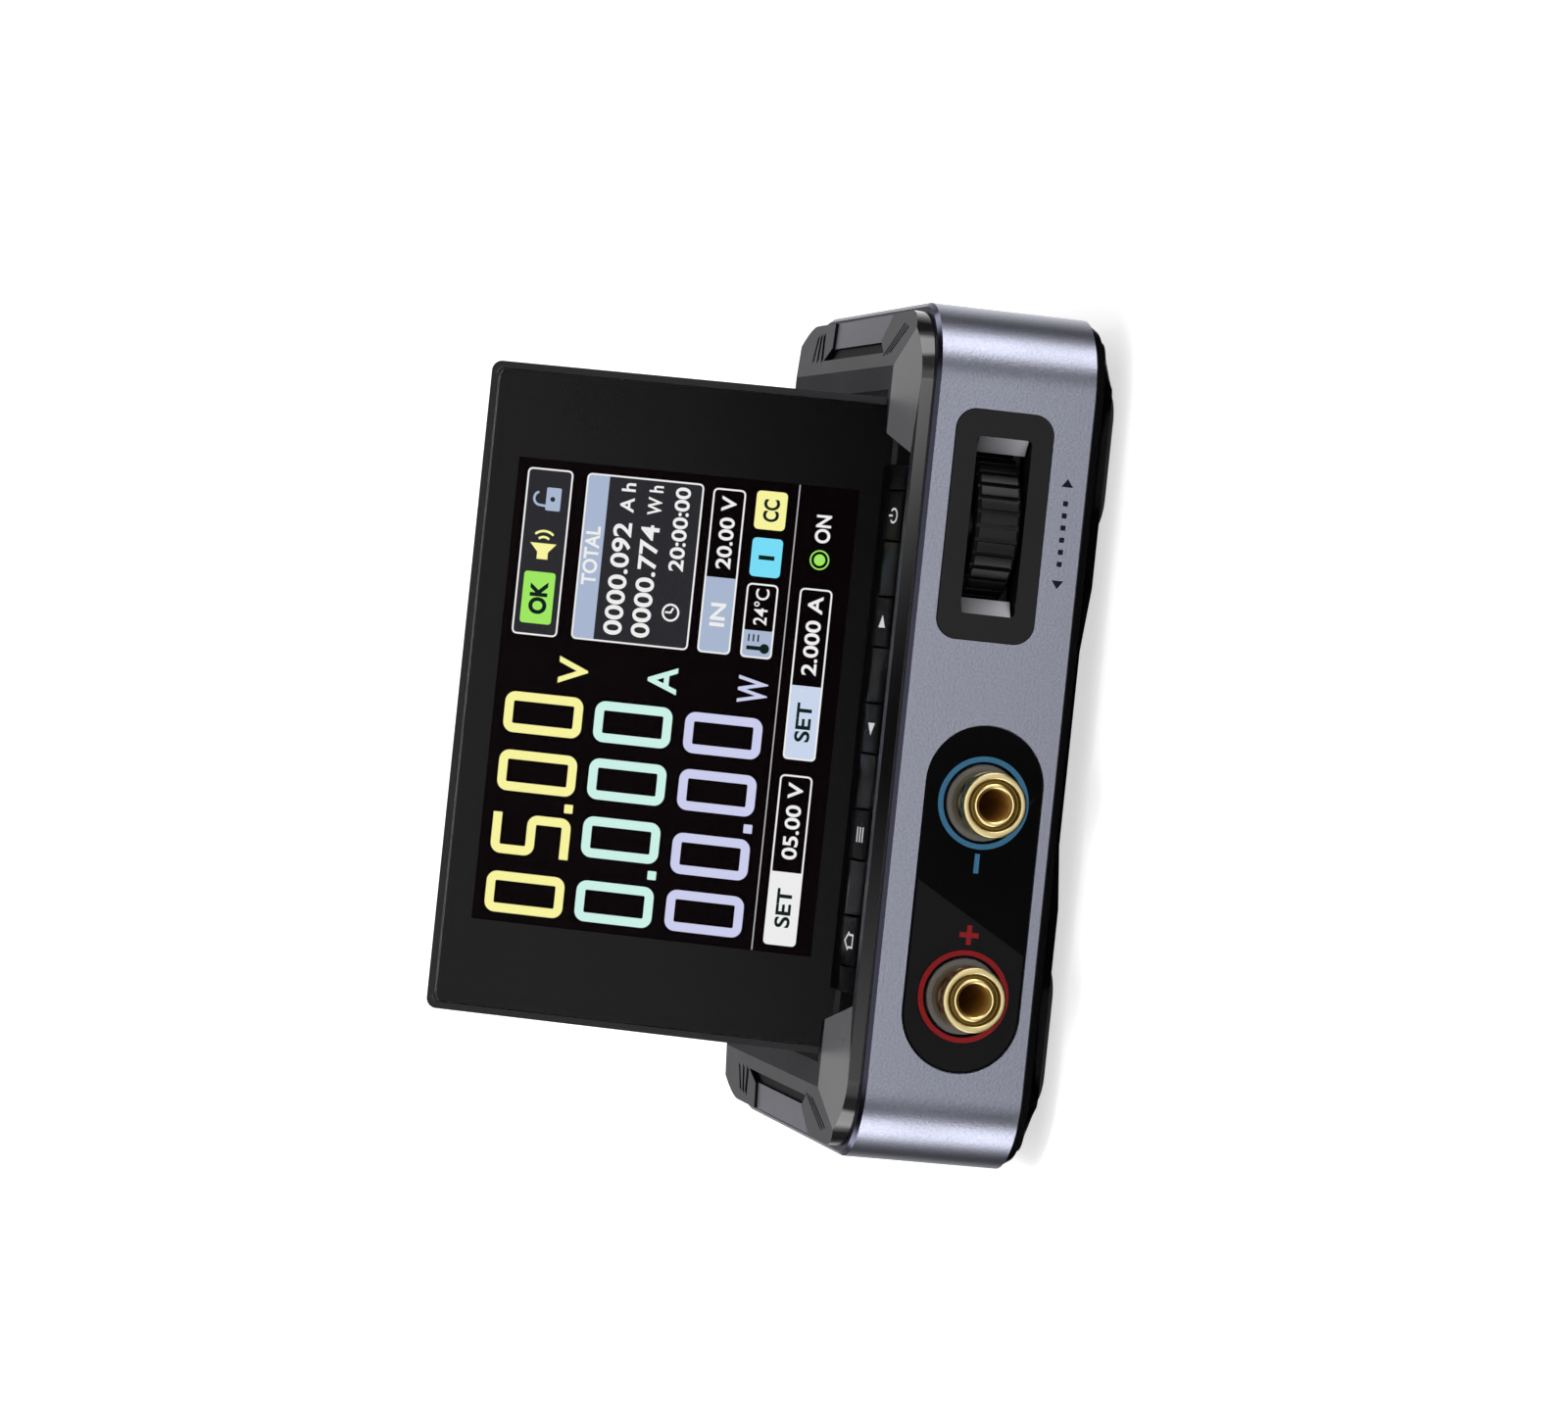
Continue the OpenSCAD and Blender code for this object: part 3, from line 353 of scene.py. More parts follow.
def holed_plate(border, hole, low, high):
    """A closed plate with one hole, triangulated between its border and the hole."""
    build = bmesh.new()
    loops = []
    for points in (border, hole):
        vertices = [build.verts.new((x, y, low)) for x, y in points]
        loops += [build.edges.new((vertices[k - 1], vertices[k])) for k in range(len(vertices))]
    bmesh.ops.triangle_fill(build, use_beauty=True, use_dissolve=False, edges=loops)
    grown = bmesh.ops.extrude_face_region(build, geom=list(build.faces))
    lifted = [v for v in grown["geom"] if isinstance(v, bmesh.types.BMVert)]
    bmesh.ops.translate(build, vec=(0, 0, high - low), verts=lifted)
    build.verts.index_update()
    shape = ([tuple(v.co) for v in build.verts], [tuple(v.index for v in f.verts) for f in build.faces])
    build.free()
    return shape


# Painted reflection: the patch is painted a lighter grey than the black panel.
panel_painted_reflection = finish("panel painted reflection", paint(31, 31, 32), 0.22, grains=3000, spread=0.08,
                    Specular_IOR_Level=0.03)
printed("panel_painted_reflection_patch", [holed_plate(reflection_patch, reflection_patch_hole, 0, INK)], on_front(panel_x, panel_z, panel_low.y),
        panel_painted_reflection, "base")
sign_half, sign_w = 1.2, 0.62
plus_x, minus_x = -23.9, -15.1
crossing_ink = 1.5 * INK
plus = [ribbon([(-sign_half, 0), (sign_half, 0)], sign_w, 0, INK),
        ribbon([(0, -sign_half), (0, sign_half)], sign_w, 0, crossing_ink)]
sign_y = panel_low.y - INK
printed("plus_sign", plus, on_front(plus_x, panel_z, sign_y), ring_red, "base")
printed("minus_sign", [plus[0]], on_front(minus_x, panel_z, sign_y), ring_blue, "base")


# Output sockets
# Two 4 mm sockets turned from brass and plated with gold, with a rolled mouth and a groove. Each sits in a
# warm grey insulator, is held by a washer and a hexagon nut, and ends in a tail with a copper strap to the
# board.

socket_gold = finish("gold plating", paint(196, 178, 128), 0.2, grains=9000, spread=0.06, relief=0.003,
                     Metallic=1.0)
# Painted shade: the bore is painted a matte amber instead of the gold plating.
bore_painted_shade = finish("bore painted shade", paint(206, 164, 82), 0.5, grains=9000, spread=0.1)
gold_satin = finish("satin gold face", paint(206, 190, 140), 0.38, grains=9000, Metallic=1.0)
# Painted shade: the groove is painted a dark gold.
socket_groove_painted_shade = finish("socket groove painted shade", paint(96, 76, 34), 0.35, grains=9000, Metallic=1.0)
# Painted highlight: the bead is painted a paler gold than the rest of the plating, and is a little rougher.
bead_painted_highlight = finish("bead painted highlight", paint(226, 202, 142), 0.3, grains=9000, Metallic=1.0)
bore_r, groove_r, face_r = 2.03, 2.75, 3.2
bore_depth, bead_depth, groove_depth, face_depth = 12, 1.2, 0.6, 0.3


def reach(at):
    """The distance from the axis of the socket in hand, in millimetres."""
    return math.hypot(at.x - axis_x, at.z - axis_z)


for socket in ("jack_positive", "jack_negative"):
    low, high = (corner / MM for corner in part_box(socket))
    axis_x, axis_z = (low.x + high.x) / 2, (low.z + high.z) / 2
    made = dress(socket, socket_gold, edge=0.04)
    dress_faces(made, bore_painted_shade, lambda at, normal: reach(at) < bore_r and at.y < band_low.y + bore_depth)
    dress_faces(made, bead_painted_highlight,
                lambda at, normal: bore_r < reach(at) < groove_r and at.y < low.y + bead_depth)
    dress_faces(made, gold_satin, lambda at, normal: reach(at) > face_r and at.y < low.y + face_depth)
    dress_faces(made, socket_groove_painted_shade,
                lambda at, normal: groove_r < reach(at) < face_r and at.y < low.y + groove_depth)
dress("jack_insulators", finish("warm grey insulator", paint(106, 102, 97), 0.5, spread=0.12), edge=0.08)
dress("jack_washers", finish("fibre washer", paint(58, 58, 60), 0.7, spread=0.2, relief=0.02))
plated_steel = finish("nickel plated steel", paint(186, 187, 192), 0.3, spread=0.06, Metallic=1.0)
dress("jack_nuts", plated_steel)
dress("output_straps", finish("copper strap", paint(190, 116, 70), 0.35, spread=0.12, Metallic=1.0))


# Thumbwheel and its bezel
# A black bezel snaps into the band from behind and guides a sliding yoke. The wheel is moulded with a ribbed
# rim and turns on a steel axle in the yoke, and pressing it slides the yoke back on to a small switch.

bezel_black = finish("bezel matte black", paint(24, 24, 25), 0.45, grains=4500, spread=0.12, relief=0.01,
                     Specular_IOR_Level=0.2)
bezel = dress("encoder_bezel", bezel_black)
# Painted reflection: the ramps at both ends of the slot are painted light metallic grey on the black bezel.
ramp_painted_reflection = finish("ramp painted reflection", paint(122, 122, 126), 0.45, grains=4500, spread=0.06, Metallic=1.0)


def painted_shade_upwards():
    """Painted shade by height: a colour that is whole at one height of the object, in metres, and a share of
    itself at another.
    """
    group, given, made = new_group(
        "painted_shade_upwards", {"Colour": (0.5, 0.5, 0.5, 1.0), "Low": 0.0, "High": 1.0, "Share": 0.5},
        {"Colour": "NodeSocketColor"})
    place = node(group, "ShaderNodeTexCoord").outputs["Object"]
    height = node(group, "ShaderNodeSeparateXYZ", [(0, place)]).outputs["Z"]
    value = node(group, "ShaderNodeMapRange", [("Value", height), ("From Min", given.outputs["Low"]),
                                               ("From Max", given.outputs["High"]), ("To Min", 1.0),
                                               ("To Max", given.outputs["Share"])]).outputs[0]
    group.links.new(brightened(group, given.outputs["Colour"], value), made.inputs["Colour"])
    return group


def is_ramp(at, normal):
    """Whether a face looks to the front and sideways, as the ramps at both ends of the slot do."""
    return normal.y < -0.5 and abs(normal.x) > 0.3


# Painted shade: the ramps' paint fades upwards to a fifth of itself over the wheel's height.
ramp_tree = ramp_painted_reflection.node_tree
ramp_colour = ramp_tree.nodes["Principled BSDF"].inputs["Base Color"]
painted_fade = node(ramp_tree, "ShaderNodeGroup",
            [("Colour", ramp_colour.links[0].from_socket), ("Low", wheel_low.z * MM),
             ("High", wheel_high.z * MM), ("Share", 0.2)], node_tree=painted_shade_upwards())
ramp_tree.links.new(painted_fade.outputs["Colour"], ramp_colour)
dress_faces(bezel, ramp_painted_reflection, is_ramp)
inner_black = finish("yoke plastic", paint(54, 54, 57), 0.5, spread=0.1, relief=0.01)
dress("wheel_carrier", inner_black)
dress("wheel_axle", plated_steel)
wheel_black = finish("wheel plastic", paint(22, 22, 23), 0.36, grains=3500, spread=0.15, relief=0.01,
                     Specular_IOR_Level=0.2)
dress("thumbwheel", wheel_black, edge=0.09)
dress("encoder_switch", finish("switch body", paint(30, 30, 32), 0.45, spread=0.1))


# Circuit boards and their parts
# Boards of green glass fibre. The power stage, its inductor, capacitors and heat spreader stand on the main
# board, which four screws hold to posts of the tray.

board_green = finish("board green", paint(31, 92, 60), 0.4, grains=900, spread=0.25, mottles=500,
                     Coat_Weight=0.4, Coat_Roughness=0.15)
for board in ("main_board", "encoder_board", "key_board", "display_board"):
    dress(board, board_green)
for screws in ("board_screws", "key_board_screws", "bracket_screws", "display_screws"):
    dress(screws, screw_zinc)
ferrite = finish("pressed ferrite", paint(76, 76, 79), 0.7, grains=2500, spread=0.25, relief=0.03)
dress("power_inductor", ferrite)
dress("capacitors", finish("capacitor can", paint(150, 156, 166), 0.35, spread=0.06, Metallic=1.0))
chip_black = finish("chip epoxy", paint(30, 30, 32), 0.55, spread=0.2, relief=0.01)
for part in ("power_transistors", "control_chips", "buzzer"):
    dress(part, chip_black)
dress("heat_spreader", finish("extruded aluminium", paint(160, 161, 167), 0.42, spread=0.08, Metallic=1.0))


# Inlets at the rear
# A round power inlet, an oval supply inlet and a small data socket stand on the main board and look out
# through holes in the band. The first is moulded in black, the other two are folded from plated sheet steel.

dress("dc_inlet", chip_black, edge=0.08)
dress("usb_c_socket", plated_steel)
dress("micro_usb_socket", plated_steel)


# Key switches
# Five sealed switches with a steel lid stand on their own board under the front of the cover, one below each
# key, which rests on the switch and is lifted by it.

dress("key_switches", plated_steel)


# Cover
# The lid of the case is moulded in black ABS with a satin texture. Its four sides slope up to a flat top and
# the display's well, and each side slope has a shouldered recess and slanted grooves.

cover_satin = finish("cover satin black", paint(36, 36, 43), 0.29, grains=4200, spread=0.07, relief=0.012)
cover = dress("top_cover", cover_satin, edge=0.14, crease=8)
lip_depth = 1.4


def inset(at):
    """How far inside the band's rounded outline a point lies, in millimetres."""
    middle = (band_low + band_high) / 2
    corner_r = 10
    x = abs(at.x - middle.x) - (band_high.x - middle.x - corner_r)
    y = abs(at.y - middle.y) - (band_high.y - middle.y - corner_r)
    return corner_r - (math.hypot(x, y) if x > 0 and y > 0 else max(x, y))


lip_gloss = finish("cover lip gloss", paint(11, 11, 11), 0.07, grains=3000, spread=0.1, drift=0.02,
                   Specular_IOR_Level=0.58)
dress_faces(cover, lip_gloss,
            lambda at, normal: at.z > band_high.z and abs(normal.z) < 0.2 and inset(at) < lip_depth)
large = 8 * MM * MM
parallel = 0.99


def outer_plane(leans):
    """The outermost of the cover's large upper faces that lean one way: a point in mm and its normal."""
    faces = [face for face in cover.data.polygons
             if face.area > large and face.normal.z > 0.8 and leans(face.normal)]
    outermost = max(faces, key=lambda face: face.center.dot(face.normal))
    return outermost.center / MM, outermost.normal.copy()


slope_at, slope_normal = outer_plane(lambda normal: normal.x > 0.1)
front_at, front_normal = outer_plane(lambda normal: normal.y < -0.1)
rear_at, rear_normal = outer_plane(lambda normal: normal.y > 0.1)
slope_x = band_high.x - 8.1
flush = 0.03
recess_floor, trench_floor = (0.3, 0.45), (0.7, 0.9)
facet_x = 25


def shoulder_depth(at):
    """How far a point of either side lies below the plane of the side slopes, in mm, or 0 elsewhere."""
    from_front, from_rear = (front_at - at).dot(front_normal), (rear_at - at).dot(rear_normal)
    on_other_slope = min(abs(from_front), abs(from_rear)) < flush
    if on_other_slope or abs(at.x) < slope_x or inset(at) < lip_depth:
        return 0
    return (slope_at - Vector((abs(at.x), at.y, at.z))).dot(slope_normal)


def is_floor(at, normal, depths):
    """Whether a face is a floor of a shoulder's cut-outs, between two depths."""
    along = Vector((abs(normal.x), normal.y, normal.z)).dot(slope_normal)
    return along > parallel and depths[0] < shoulder_depth(at) < depths[1]


def is_groove(at, normal):
    """Whether a face is a wall of a shoulder's cut-outs or part of a groove."""
    return flush < shoulder_depth(at) < trench_floor[0] and not is_floor(at, normal, recess_floor)


# Painted sheen: the outer ends of the front slope are painted light grey on the black cover, standing in for
# the light they catch.
front_painted_sheen = finish("front slope painted sheen", paint(96, 96, 98), 0.29, grains=4200, spread=0.12)
dress_faces(cover, front_painted_sheen,
            lambda at, normal: normal.dot(front_normal) > parallel and abs(at.x) > facet_x)
# Painted light: the floors of the shoulder recesses are painted pale grey on the black cover.
shoulder_painted_light = finish("shoulder painted light", paint(104, 104, 113), 0.35, grains=4200, spread=0.1)
dress_faces(cover, shoulder_painted_light, lambda at, normal: is_floor(at, normal, recess_floor))
# Painted shade: the trench floors are painted near black.
trench_painted_shade = finish("trench painted shade", paint(15, 15, 16), 0.6, grains=2500, spread=0.25, relief=0.02,
                  Specular_IOR_Level=0.2)
dress_faces(cover, trench_painted_shade, lambda at, normal: is_floor(at, normal, trench_floor))
# Painted shade: the walls of the shoulder cut-outs and the grooves are painted black.
cover_groove_painted_shade = finish("cover groove painted shade", paint(9, 9, 12), 0.7, grains=2500, spread=0.1, Specular_IOR_Level=0.05)
dress_faces(cover, cover_groove_painted_shade, is_groove)
bar_low, bar_high = (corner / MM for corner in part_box("key_bar"))
notch_x, notch_y, notch_z = bar_high.x + 6, (bar_low.y - 0.6, bar_high.y + 1.2), bar_low.z - 0.3
notch_edge = 0.15


def in_notch(at, normal):
    """Whether a face is a wall or the floor of the notch that holds the key bar."""
    cut_in = (front_at - at).dot(front_normal) > notch_edge
    within = abs(at.x) < notch_x and notch_y[0] < at.y < notch_y[1] and at.z > notch_z
    return cut_in and within and normal.z > -0.1


# Painted shade: the floor and walls of the notch round the key bar are painted near black.
notch_painted_shade = finish("notch painted shade", paint(10, 10, 11), 0.35, grains=4200, spread=0.12,
                    Specular_IOR_Level=0.15)
dress_faces(cover, notch_painted_shade, in_notch)


# Key bar and keys
# A separate bar sits in the notch in front of the well. Five keys rise through it, each with a low upright
# front and a pale icon printed on its sloping top.

bar_black = finish("bar gloss black", paint(5, 5, 6), 0.2, grains=4200, spread=0.12, drift=0.04,
                   Specular_IOR_Level=0.14)
dress("key_bar", bar_black, edge=0.12)
key_black = finish("key satin black", paint(6, 6, 7), 0.28, grains=4200, spread=0.1, relief=0.006,
                   Specular_IOR_Level=0.08)
KEYS = {"key_home": "home_key", "key_memory": "memory_key", "key_left": "left_key", "key_right": "right_key",
        "key_output": "output_key"}
for key in KEYS:
    dress(key, key_black, edge=0.15)

icon_line, icon_scale = 0.3, 0.85
top_run, top_rise = 2.5, 0.7


def strokes(*lines):
    """Icon lines of even width, each a list of points, as closed strips."""
    return [ribbon(line, icon_line, 0, INK) for line in lines]


roof = [(-1.3, 0.1), (0, 1.2), (1.3, 0.1)]
walls = [(-0.9, 0.1), (-0.9, -1.1), (0.9, -1.1), (0.9, 0.1)]
ICONS = {
    "key_home": strokes(roof, walls),
    "key_memory": strokes(*[[(-1.1, y), (1.1, y)] for y in (-0.8, 0, 0.8)]),
    "key_left": [flat_plate([(-1, 0), (0.8, -1), (0.8, 1)], 0, INK)],
    "key_right": [flat_plate([(1, 0), (-0.8, 1), (-0.8, -1)], 0, INK)],
    "key_output": strokes(arc((0, -0.1), 1, 130, 410, 16), [(0, 0.2), (0, 1.3)]),
}
icon_white = finish("pale ink", paint(225, 226, 230), 0.5, spread=0.05)
for key, body in KEYS.items():
    low, high = (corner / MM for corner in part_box(key))
    middle = Vector(((low.x + high.x) / 2, low.y + top_run / 2, high.z - top_rise / 2))
    lean = Matrix.Rotation(math.atan2(top_rise, top_run), 4, "X")
    on_top = Matrix.Translation(middle * MM) @ lean @ Matrix.Scale(icon_scale, 4)
    printed(key + "_icon", ICONS[key], on_top, icon_white, body)


# Hinge
# On each side a steel bracket with a rolled barrel grips the end of a pin. It is stiff enough to hold the
# display at any angle, and the pins are pressed into the display's frame.

dress("hinge_brackets", plated_steel)
dress("hinge_pins", plated_steel)


# Display housing
# The frame and the back are moulded in black ABS and closed with four screws. The frame's lower end is a
# round roll that turns in the cover, and its rim stands level round the glass.

display_black = finish("display satin black", paint(38, 38, 40), 0.3, grains=4200, spread=0.12, relief=0.008)
dress("display_frame", display_black, edge=0.2)
dress("display_back", display_black, edge=0.12)
dress("lcd_module", finish("screen module", paint(34, 34, 38), 0.4, spread=0.1))


# Lit picture on the screen
# The colour panel lies under the glass. Its picture has three big readings at the left, a column of small
# fields at the right and the set values in a row below, drawn by the panel itself in light.

fold = next(joint for joint in frame["joints"] if joint["name"] == "display_fold")
hinge_at = Vector(fold["pos_m"])
tilt = -math.radians(fold["range_deg"][0])
glass_under = 2.35
screen_w, screen_h, screen_round = 58.3, 43.7, 0.1
screen_mid = 26.1


def on_screen(height):
    """Lays a drawing on the raised display at a height in mm: its middle is the middle of the screen."""
    lift = Matrix.Translation(Vector((0, screen_mid, height)) * MM)
    return Matrix.Translation(hinge_at) @ Matrix.Rotation(tilt, 4, "X") @ lift


def pixel_light():
    """The panel's dots: a colour that differs a little from dot to dot."""
    group, given, made = new_group(
        "pixel_light", {"Colour": (1.0, 1.0, 1.0, 1.0), "Dots per Metre": 5500.0, "Spread": 0.06},
        {"Colour": "NodeSocketColor"})
    place = node(group, "ShaderNodeTexCoord").outputs["Object"]
    dots = node(group, "ShaderNodeTexNoise", [("Vector", place), ("Scale", given.outputs["Dots per Metre"])])
    value = maths(group, "ADD", centred(group, dots.outputs["Fac"], given.outputs["Spread"]), 1.0)
    group.links.new(brightened(group, given.outputs["Colour"], value), made.inputs["Colour"])
    return group


PIXELS = pixel_light()


def light(name, *colour):
    """A colour that the panel shows, given by its screen values."""
    material, tree, shader = new_material(name)
    set_inputs(shader, Base_Color=(0.0005, 0.0005, 0.0005, 1.0), Roughness=0.6, Specular_IOR_Level=0.0,
               Emission_Strength=0.95)
    lit = node(tree, "ShaderNodeGroup", [("Colour", paint(*colour))], node_tree=PIXELS)
    tree.links.new(lit.outputs["Colour"], shader.inputs["Emission Color"])
    return material


LIGHTS = {
    "black": light("screen black", 7, 3, 4),
    "yellow": light("screen yellow", 253, 249, 162),
    "mint": light("screen mint", 208, 246, 236),
    "lavender": light("screen lavender", 208, 210, 242),
    "white": light("screen white", 242, 242, 242),
    "grey": light("screen grey", 176, 176, 178),
    "pale_blue": light("screen pale blue", 205, 218, 240),
    "steel": light("screen steel blue", 172, 187, 212),
    "slate": light("screen slate", 44, 44, 48),
    "green": light("screen green", 162, 236, 100),
    "cyan": light("screen cyan", 122, 226, 252),
    "dark": light("screen dark", 16, 34, 30),
}
LAYER, PLATE = 0.006, 0.0048
picture_depth = 0.045
picture = {}


def show(colour, layer, *shapes):
    """Adds closed shapes, drawn from height 0 to 1, to one colour and one layer of the picture."""
    picture.setdefault((colour, layer), []).extend(shapes)


def fill(colour, layer, points):
    """Fills an outline."""
    show(colour, layer, flat_plate(points, 0, 1))


def draw(colour, layer, points, width, closed=False):
    """Draws a line of even width."""
    show(colour, layer, ribbon(points, width, 0, 1, closed))


def panel(colour, layer, left, bottom, right, top, radius=0.55):
    """Fills a rectangle with round corners."""
    fill(colour, layer, rounded_box(left, bottom, right, top, radius))


def outline(left, bottom, right, top, layer=3, width=0.22, radius=0.55):
    """Draws a white line just inside the edge of a rectangle with round corners."""
    half = width / 2
    path = rounded_box(left + half, bottom + half, right - half, top - half, radius)
    draw("white", layer, path, width, closed=True)


CAPITAL = 0.73
WIDEST = 1.2


def words(text, colour, layer, left, right, base, tall, bold=0.02):
    """Lettering with its capitals tall millimetres high on a base line, fitted between left and right."""
    curve = bpy.data.curves.new("lettering", "FONT")
    curve.body = text
    curve.offset = bold
    curve.extrude = half_depth = 0.5
    letters = bpy.data.objects.new("lettering", curve)
    bpy.context.scene.collection.objects.link(letters)
    bpy.context.view_layer.update()
    mesh = bpy.data.meshes.new_from_object(letters.evaluated_get(bpy.context.evaluated_depsgraph_get()))
    spots = [v.co.copy() for v in mesh.vertices]
    low_x, high_x = min(p.x for p in spots), max(p.x for p in spots)
    lift = tall / CAPITAL
    wide = min(right - left, WIDEST * (high_x - low_x) * lift)
    start = (left + right - wide) / 2
    stretch = wide / (high_x - low_x)
    rows = [(start + (p.x - low_x) * stretch, base + p.y * lift, p.z + half_depth) for p in spots]
    show(colour, layer, (rows, [tuple(f.vertices) for f in mesh.polygons]))
    bpy.data.objects.remove(letters)
    bpy.data.curves.remove(curve)
    bpy.data.meshes.remove(mesh)


digit_w, digit_h, digit_line, digit_bend = 5.15, 10.1, 1.15, 0.74
point_w, point_round = 1.1, 0.08
unit_left, unit_right, unit_tall = 1.4, 4.8, 3.8


def bent(points, radius):
    """A line with each inner corner rounded by an arc of short chords."""
    path = [Vector(points[0])]
    for before, corner, after in zip(points, points[1:], points[2:]):
        here = Vector(corner)
        way_in = (here - Vector(before)).normalized()
        way_out = (Vector(after) - here).normalized()
        centre = here - way_in * radius + way_out * radius
        for k in range(7):
            turn = math.radians(90 * k / 6)
            path.append(centre - way_out * radius * math.cos(turn) + way_in * radius * math.sin(turn))
    return [tuple(p) for p in path + [Vector(points[-1])]]


def digit(figure, colour, left, base, tall=digit_h):
    """A big 0 or 5 drawn as one even line with round outer corners."""
    half = digit_line / 2
    x0, x1 = left + half, left + digit_w - half
    y0, y1, middle = base + half, base + tall - half, base + tall / 2
    if figure == "0":
        draw(colour, 1, rounded_box(x0, y0, x1, y1, digit_bend), digit_line, closed=True)
    else:
        line = [(x1 + half, y1), (x0, y1), (x0, middle), (x1, middle), (x1, y0), (x0 - half, y0)]
        draw(colour, 1, bent(line, digit_bend), digit_line)


def reading(figures, unit, colour, base, lefts, dot_x, tall=digit_h):
    """One big reading: four figures, its point and its unit."""
    for figure, left in zip(figures, lefts):
        digit(figure, colour, left, base, tall)
    panel(colour, 1, dot_x - point_w / 2, base, dot_x + point_w / 2, base + point_w, point_round)
    words(unit, colour, 1, unit_left, unit_right, base, unit_tall)


reading("0500", "V", "yellow", 10.3, (-28.0, -20.6, -12.7, -5.35), -14.2)
reading("0000", "A", "mint", -1.2, (-27.95, -19.9, -12.6, -5.4), -21.3, 9.95)
reading("0000", "W", "lavender", -12.75, (-27.85, -20.7, -12.7, -5.55), -14.2, 9.9)

rule_y, rule_half = -14.28, screen_w / 2 - 0.1
draw("grey", 1, [(-rule_half, rule_y), (rule_half, rule_y)], 0.16)
field_tall, field_rim, label_lap = 1.9, 0.1, 0.6


def set_field(label_colour, text_colour, label, left, split, right, bottom, top, value, value_left):
    """A field with a filled label at the left and a value in an outlined box."""
    panel(label_colour, 1, left, bottom, split + label_lap, top)
    masked, foot, head = split + label_lap + field_rim, bottom + field_rim, top - field_rim
    fill("black", 2, [(split, foot), (masked, foot), (masked, head), (split, head)])
    outline(left, bottom, right, top)
    base = (bottom + top - field_tall) / 2
    words(label, text_colour, 3, left + 1.9, split - 1.7, base, field_tall, bold=0.025)
    words(value, "white", 3, value_left, right - 0.9, base, field_tall)


set_field("white", "dark", "SET", -28.15, -19.0, -6.9, -19.75, -15.6, "05.00 V", -17.4)
set_field("pale_blue", "dark", "SET", -5.0, 4.25, 16.4, -19.8, -15.65, "2.000 A", 5.6)

lamp_at = (20.0, -17.7)
fill("green", 1, arc(lamp_at, 0.72))
draw("green", 1, arc(lamp_at, 1.15), 0.18, closed=True)
words("ON", "white", 1, 22.1, 25.6, -18.65, field_tall, bold=0.025)

states = (7.0, 14.65, 28.0, 20.55)
panel("slate", 1, *states)
outline(*states, layer=2)
panel("green", 2, 8.5, 15.6, 15.0, 19.65, 0.4)
words("OK", "dark", 3, 9.7, 13.8, 16.55, 2.15, bold=0.045)
fill("yellow", 2, [(16.6, 16.9), (17.5, 16.9), (18.6, 15.9), (18.6, 19.3), (17.5, 18.3), (16.6, 18.3)])
for radius in (1.0, 1.75):
    draw("yellow", 2, arc((18.4, 17.6), radius, -42, 42, 8), 0.3)
panel("steel", 2, 22.75, 15.95, 25.65, 17.85, 0.2)
draw("steel", 2, [(23.3, 17.8), *arc((24.2, 18.55), 0.85, 180, 20, 8)], 0.3)
fill("slate", 3, arc((24.2, 17.0), 0.32, 0, 330, 11))

totals = (7.1, -2.2, 28.0, 12.85)
panel("slate", 1, *totals)
panel("steel", 2, 7.2, 10.0, 27.9, 12.8)
fill("steel", 2, [(7.2, 9.95), (27.9, 9.95), (27.9, 11.0), (7.2, 11.0)])
outline(*totals)
words("TOTAL", "white", 3, 14.0, 21.4, 10.5, 1.85, bold=0.025)
for total, unit, base in (("0000.092", "A h", 6.55), ("0000.774", "W h", 3.0)):
    words(total, "white", 2, 8.1, 22.2, base, 2.35)
    words(unit, "white", 2, 23.5, 27.2, base, 1.8)
clock_x, clock_y = 11.6, 0.45
draw("white", 2, arc((clock_x, clock_y), 1.0), 0.26, closed=True)
draw("white", 2, [(clock_x, clock_y + 0.7), (clock_x, clock_y), (clock_x + 0.6, clock_y - 0.3)], 0.24)
words("20:00:00", "white", 2, 16.8, 27.3, -0.5, field_tall)

set_field("steel", "white", "IN", 7.1, 16.6, 27.7, -7.6, -3.4, "20.00 V", 17.7)

panel("steel", 1, 7.05, -12.93, 11.2, -8.9)
outline(7.05, -12.93, 16.35, -8.9)
panel("black", 2, 10.5, -12.75, 16.2, -9.05, 0.3)
words("24°C", "white", 3, 11.2, 15.7, -11.8, 1.75, bold=0.01)
stem_x = 8.3
draw("dark", 2, [(stem_x, -11.6), (stem_x, -9.6)], 0.5)
fill("dark", 2, arc((stem_x, -11.9), 0.62))
for y in (-9.8, -10.4, -11.0):
    draw("dark", 2, [(9.1, y), (10.0, y)], 0.2)
panel("cyan", 1, 17.2, -12.9, 22.05, -9.0)
words("1", "dark", 2, 19.1, 20.1, -11.9, 1.95, bold=0.035)
panel("yellow", 1, 23.1, -12.9, 27.9, -8.95)
words("CC", "dark", 2, 24.1, 26.9, -11.9, 1.95, bold=0.03)

panel("black", 0, -screen_w / 2, -screen_h / 2, screen_w / 2, screen_h / 2, screen_round)
for (colour, layer), shapes in picture.items():
    low = glass_under - picture_depth + LAYER * layer
    flat = [([(x, y, z * PLATE) for x, y, z in rows], faces) for rows, faces in shapes]
    printed("screen_%s_%d" % (colour, layer), flat, on_screen(low), LIGHTS[colour], "display")


# Cover glass
# A plate of hardened glass fills the frame's rim. Its underside is printed black round the lit window, and a
# coating takes most of its reflections away.

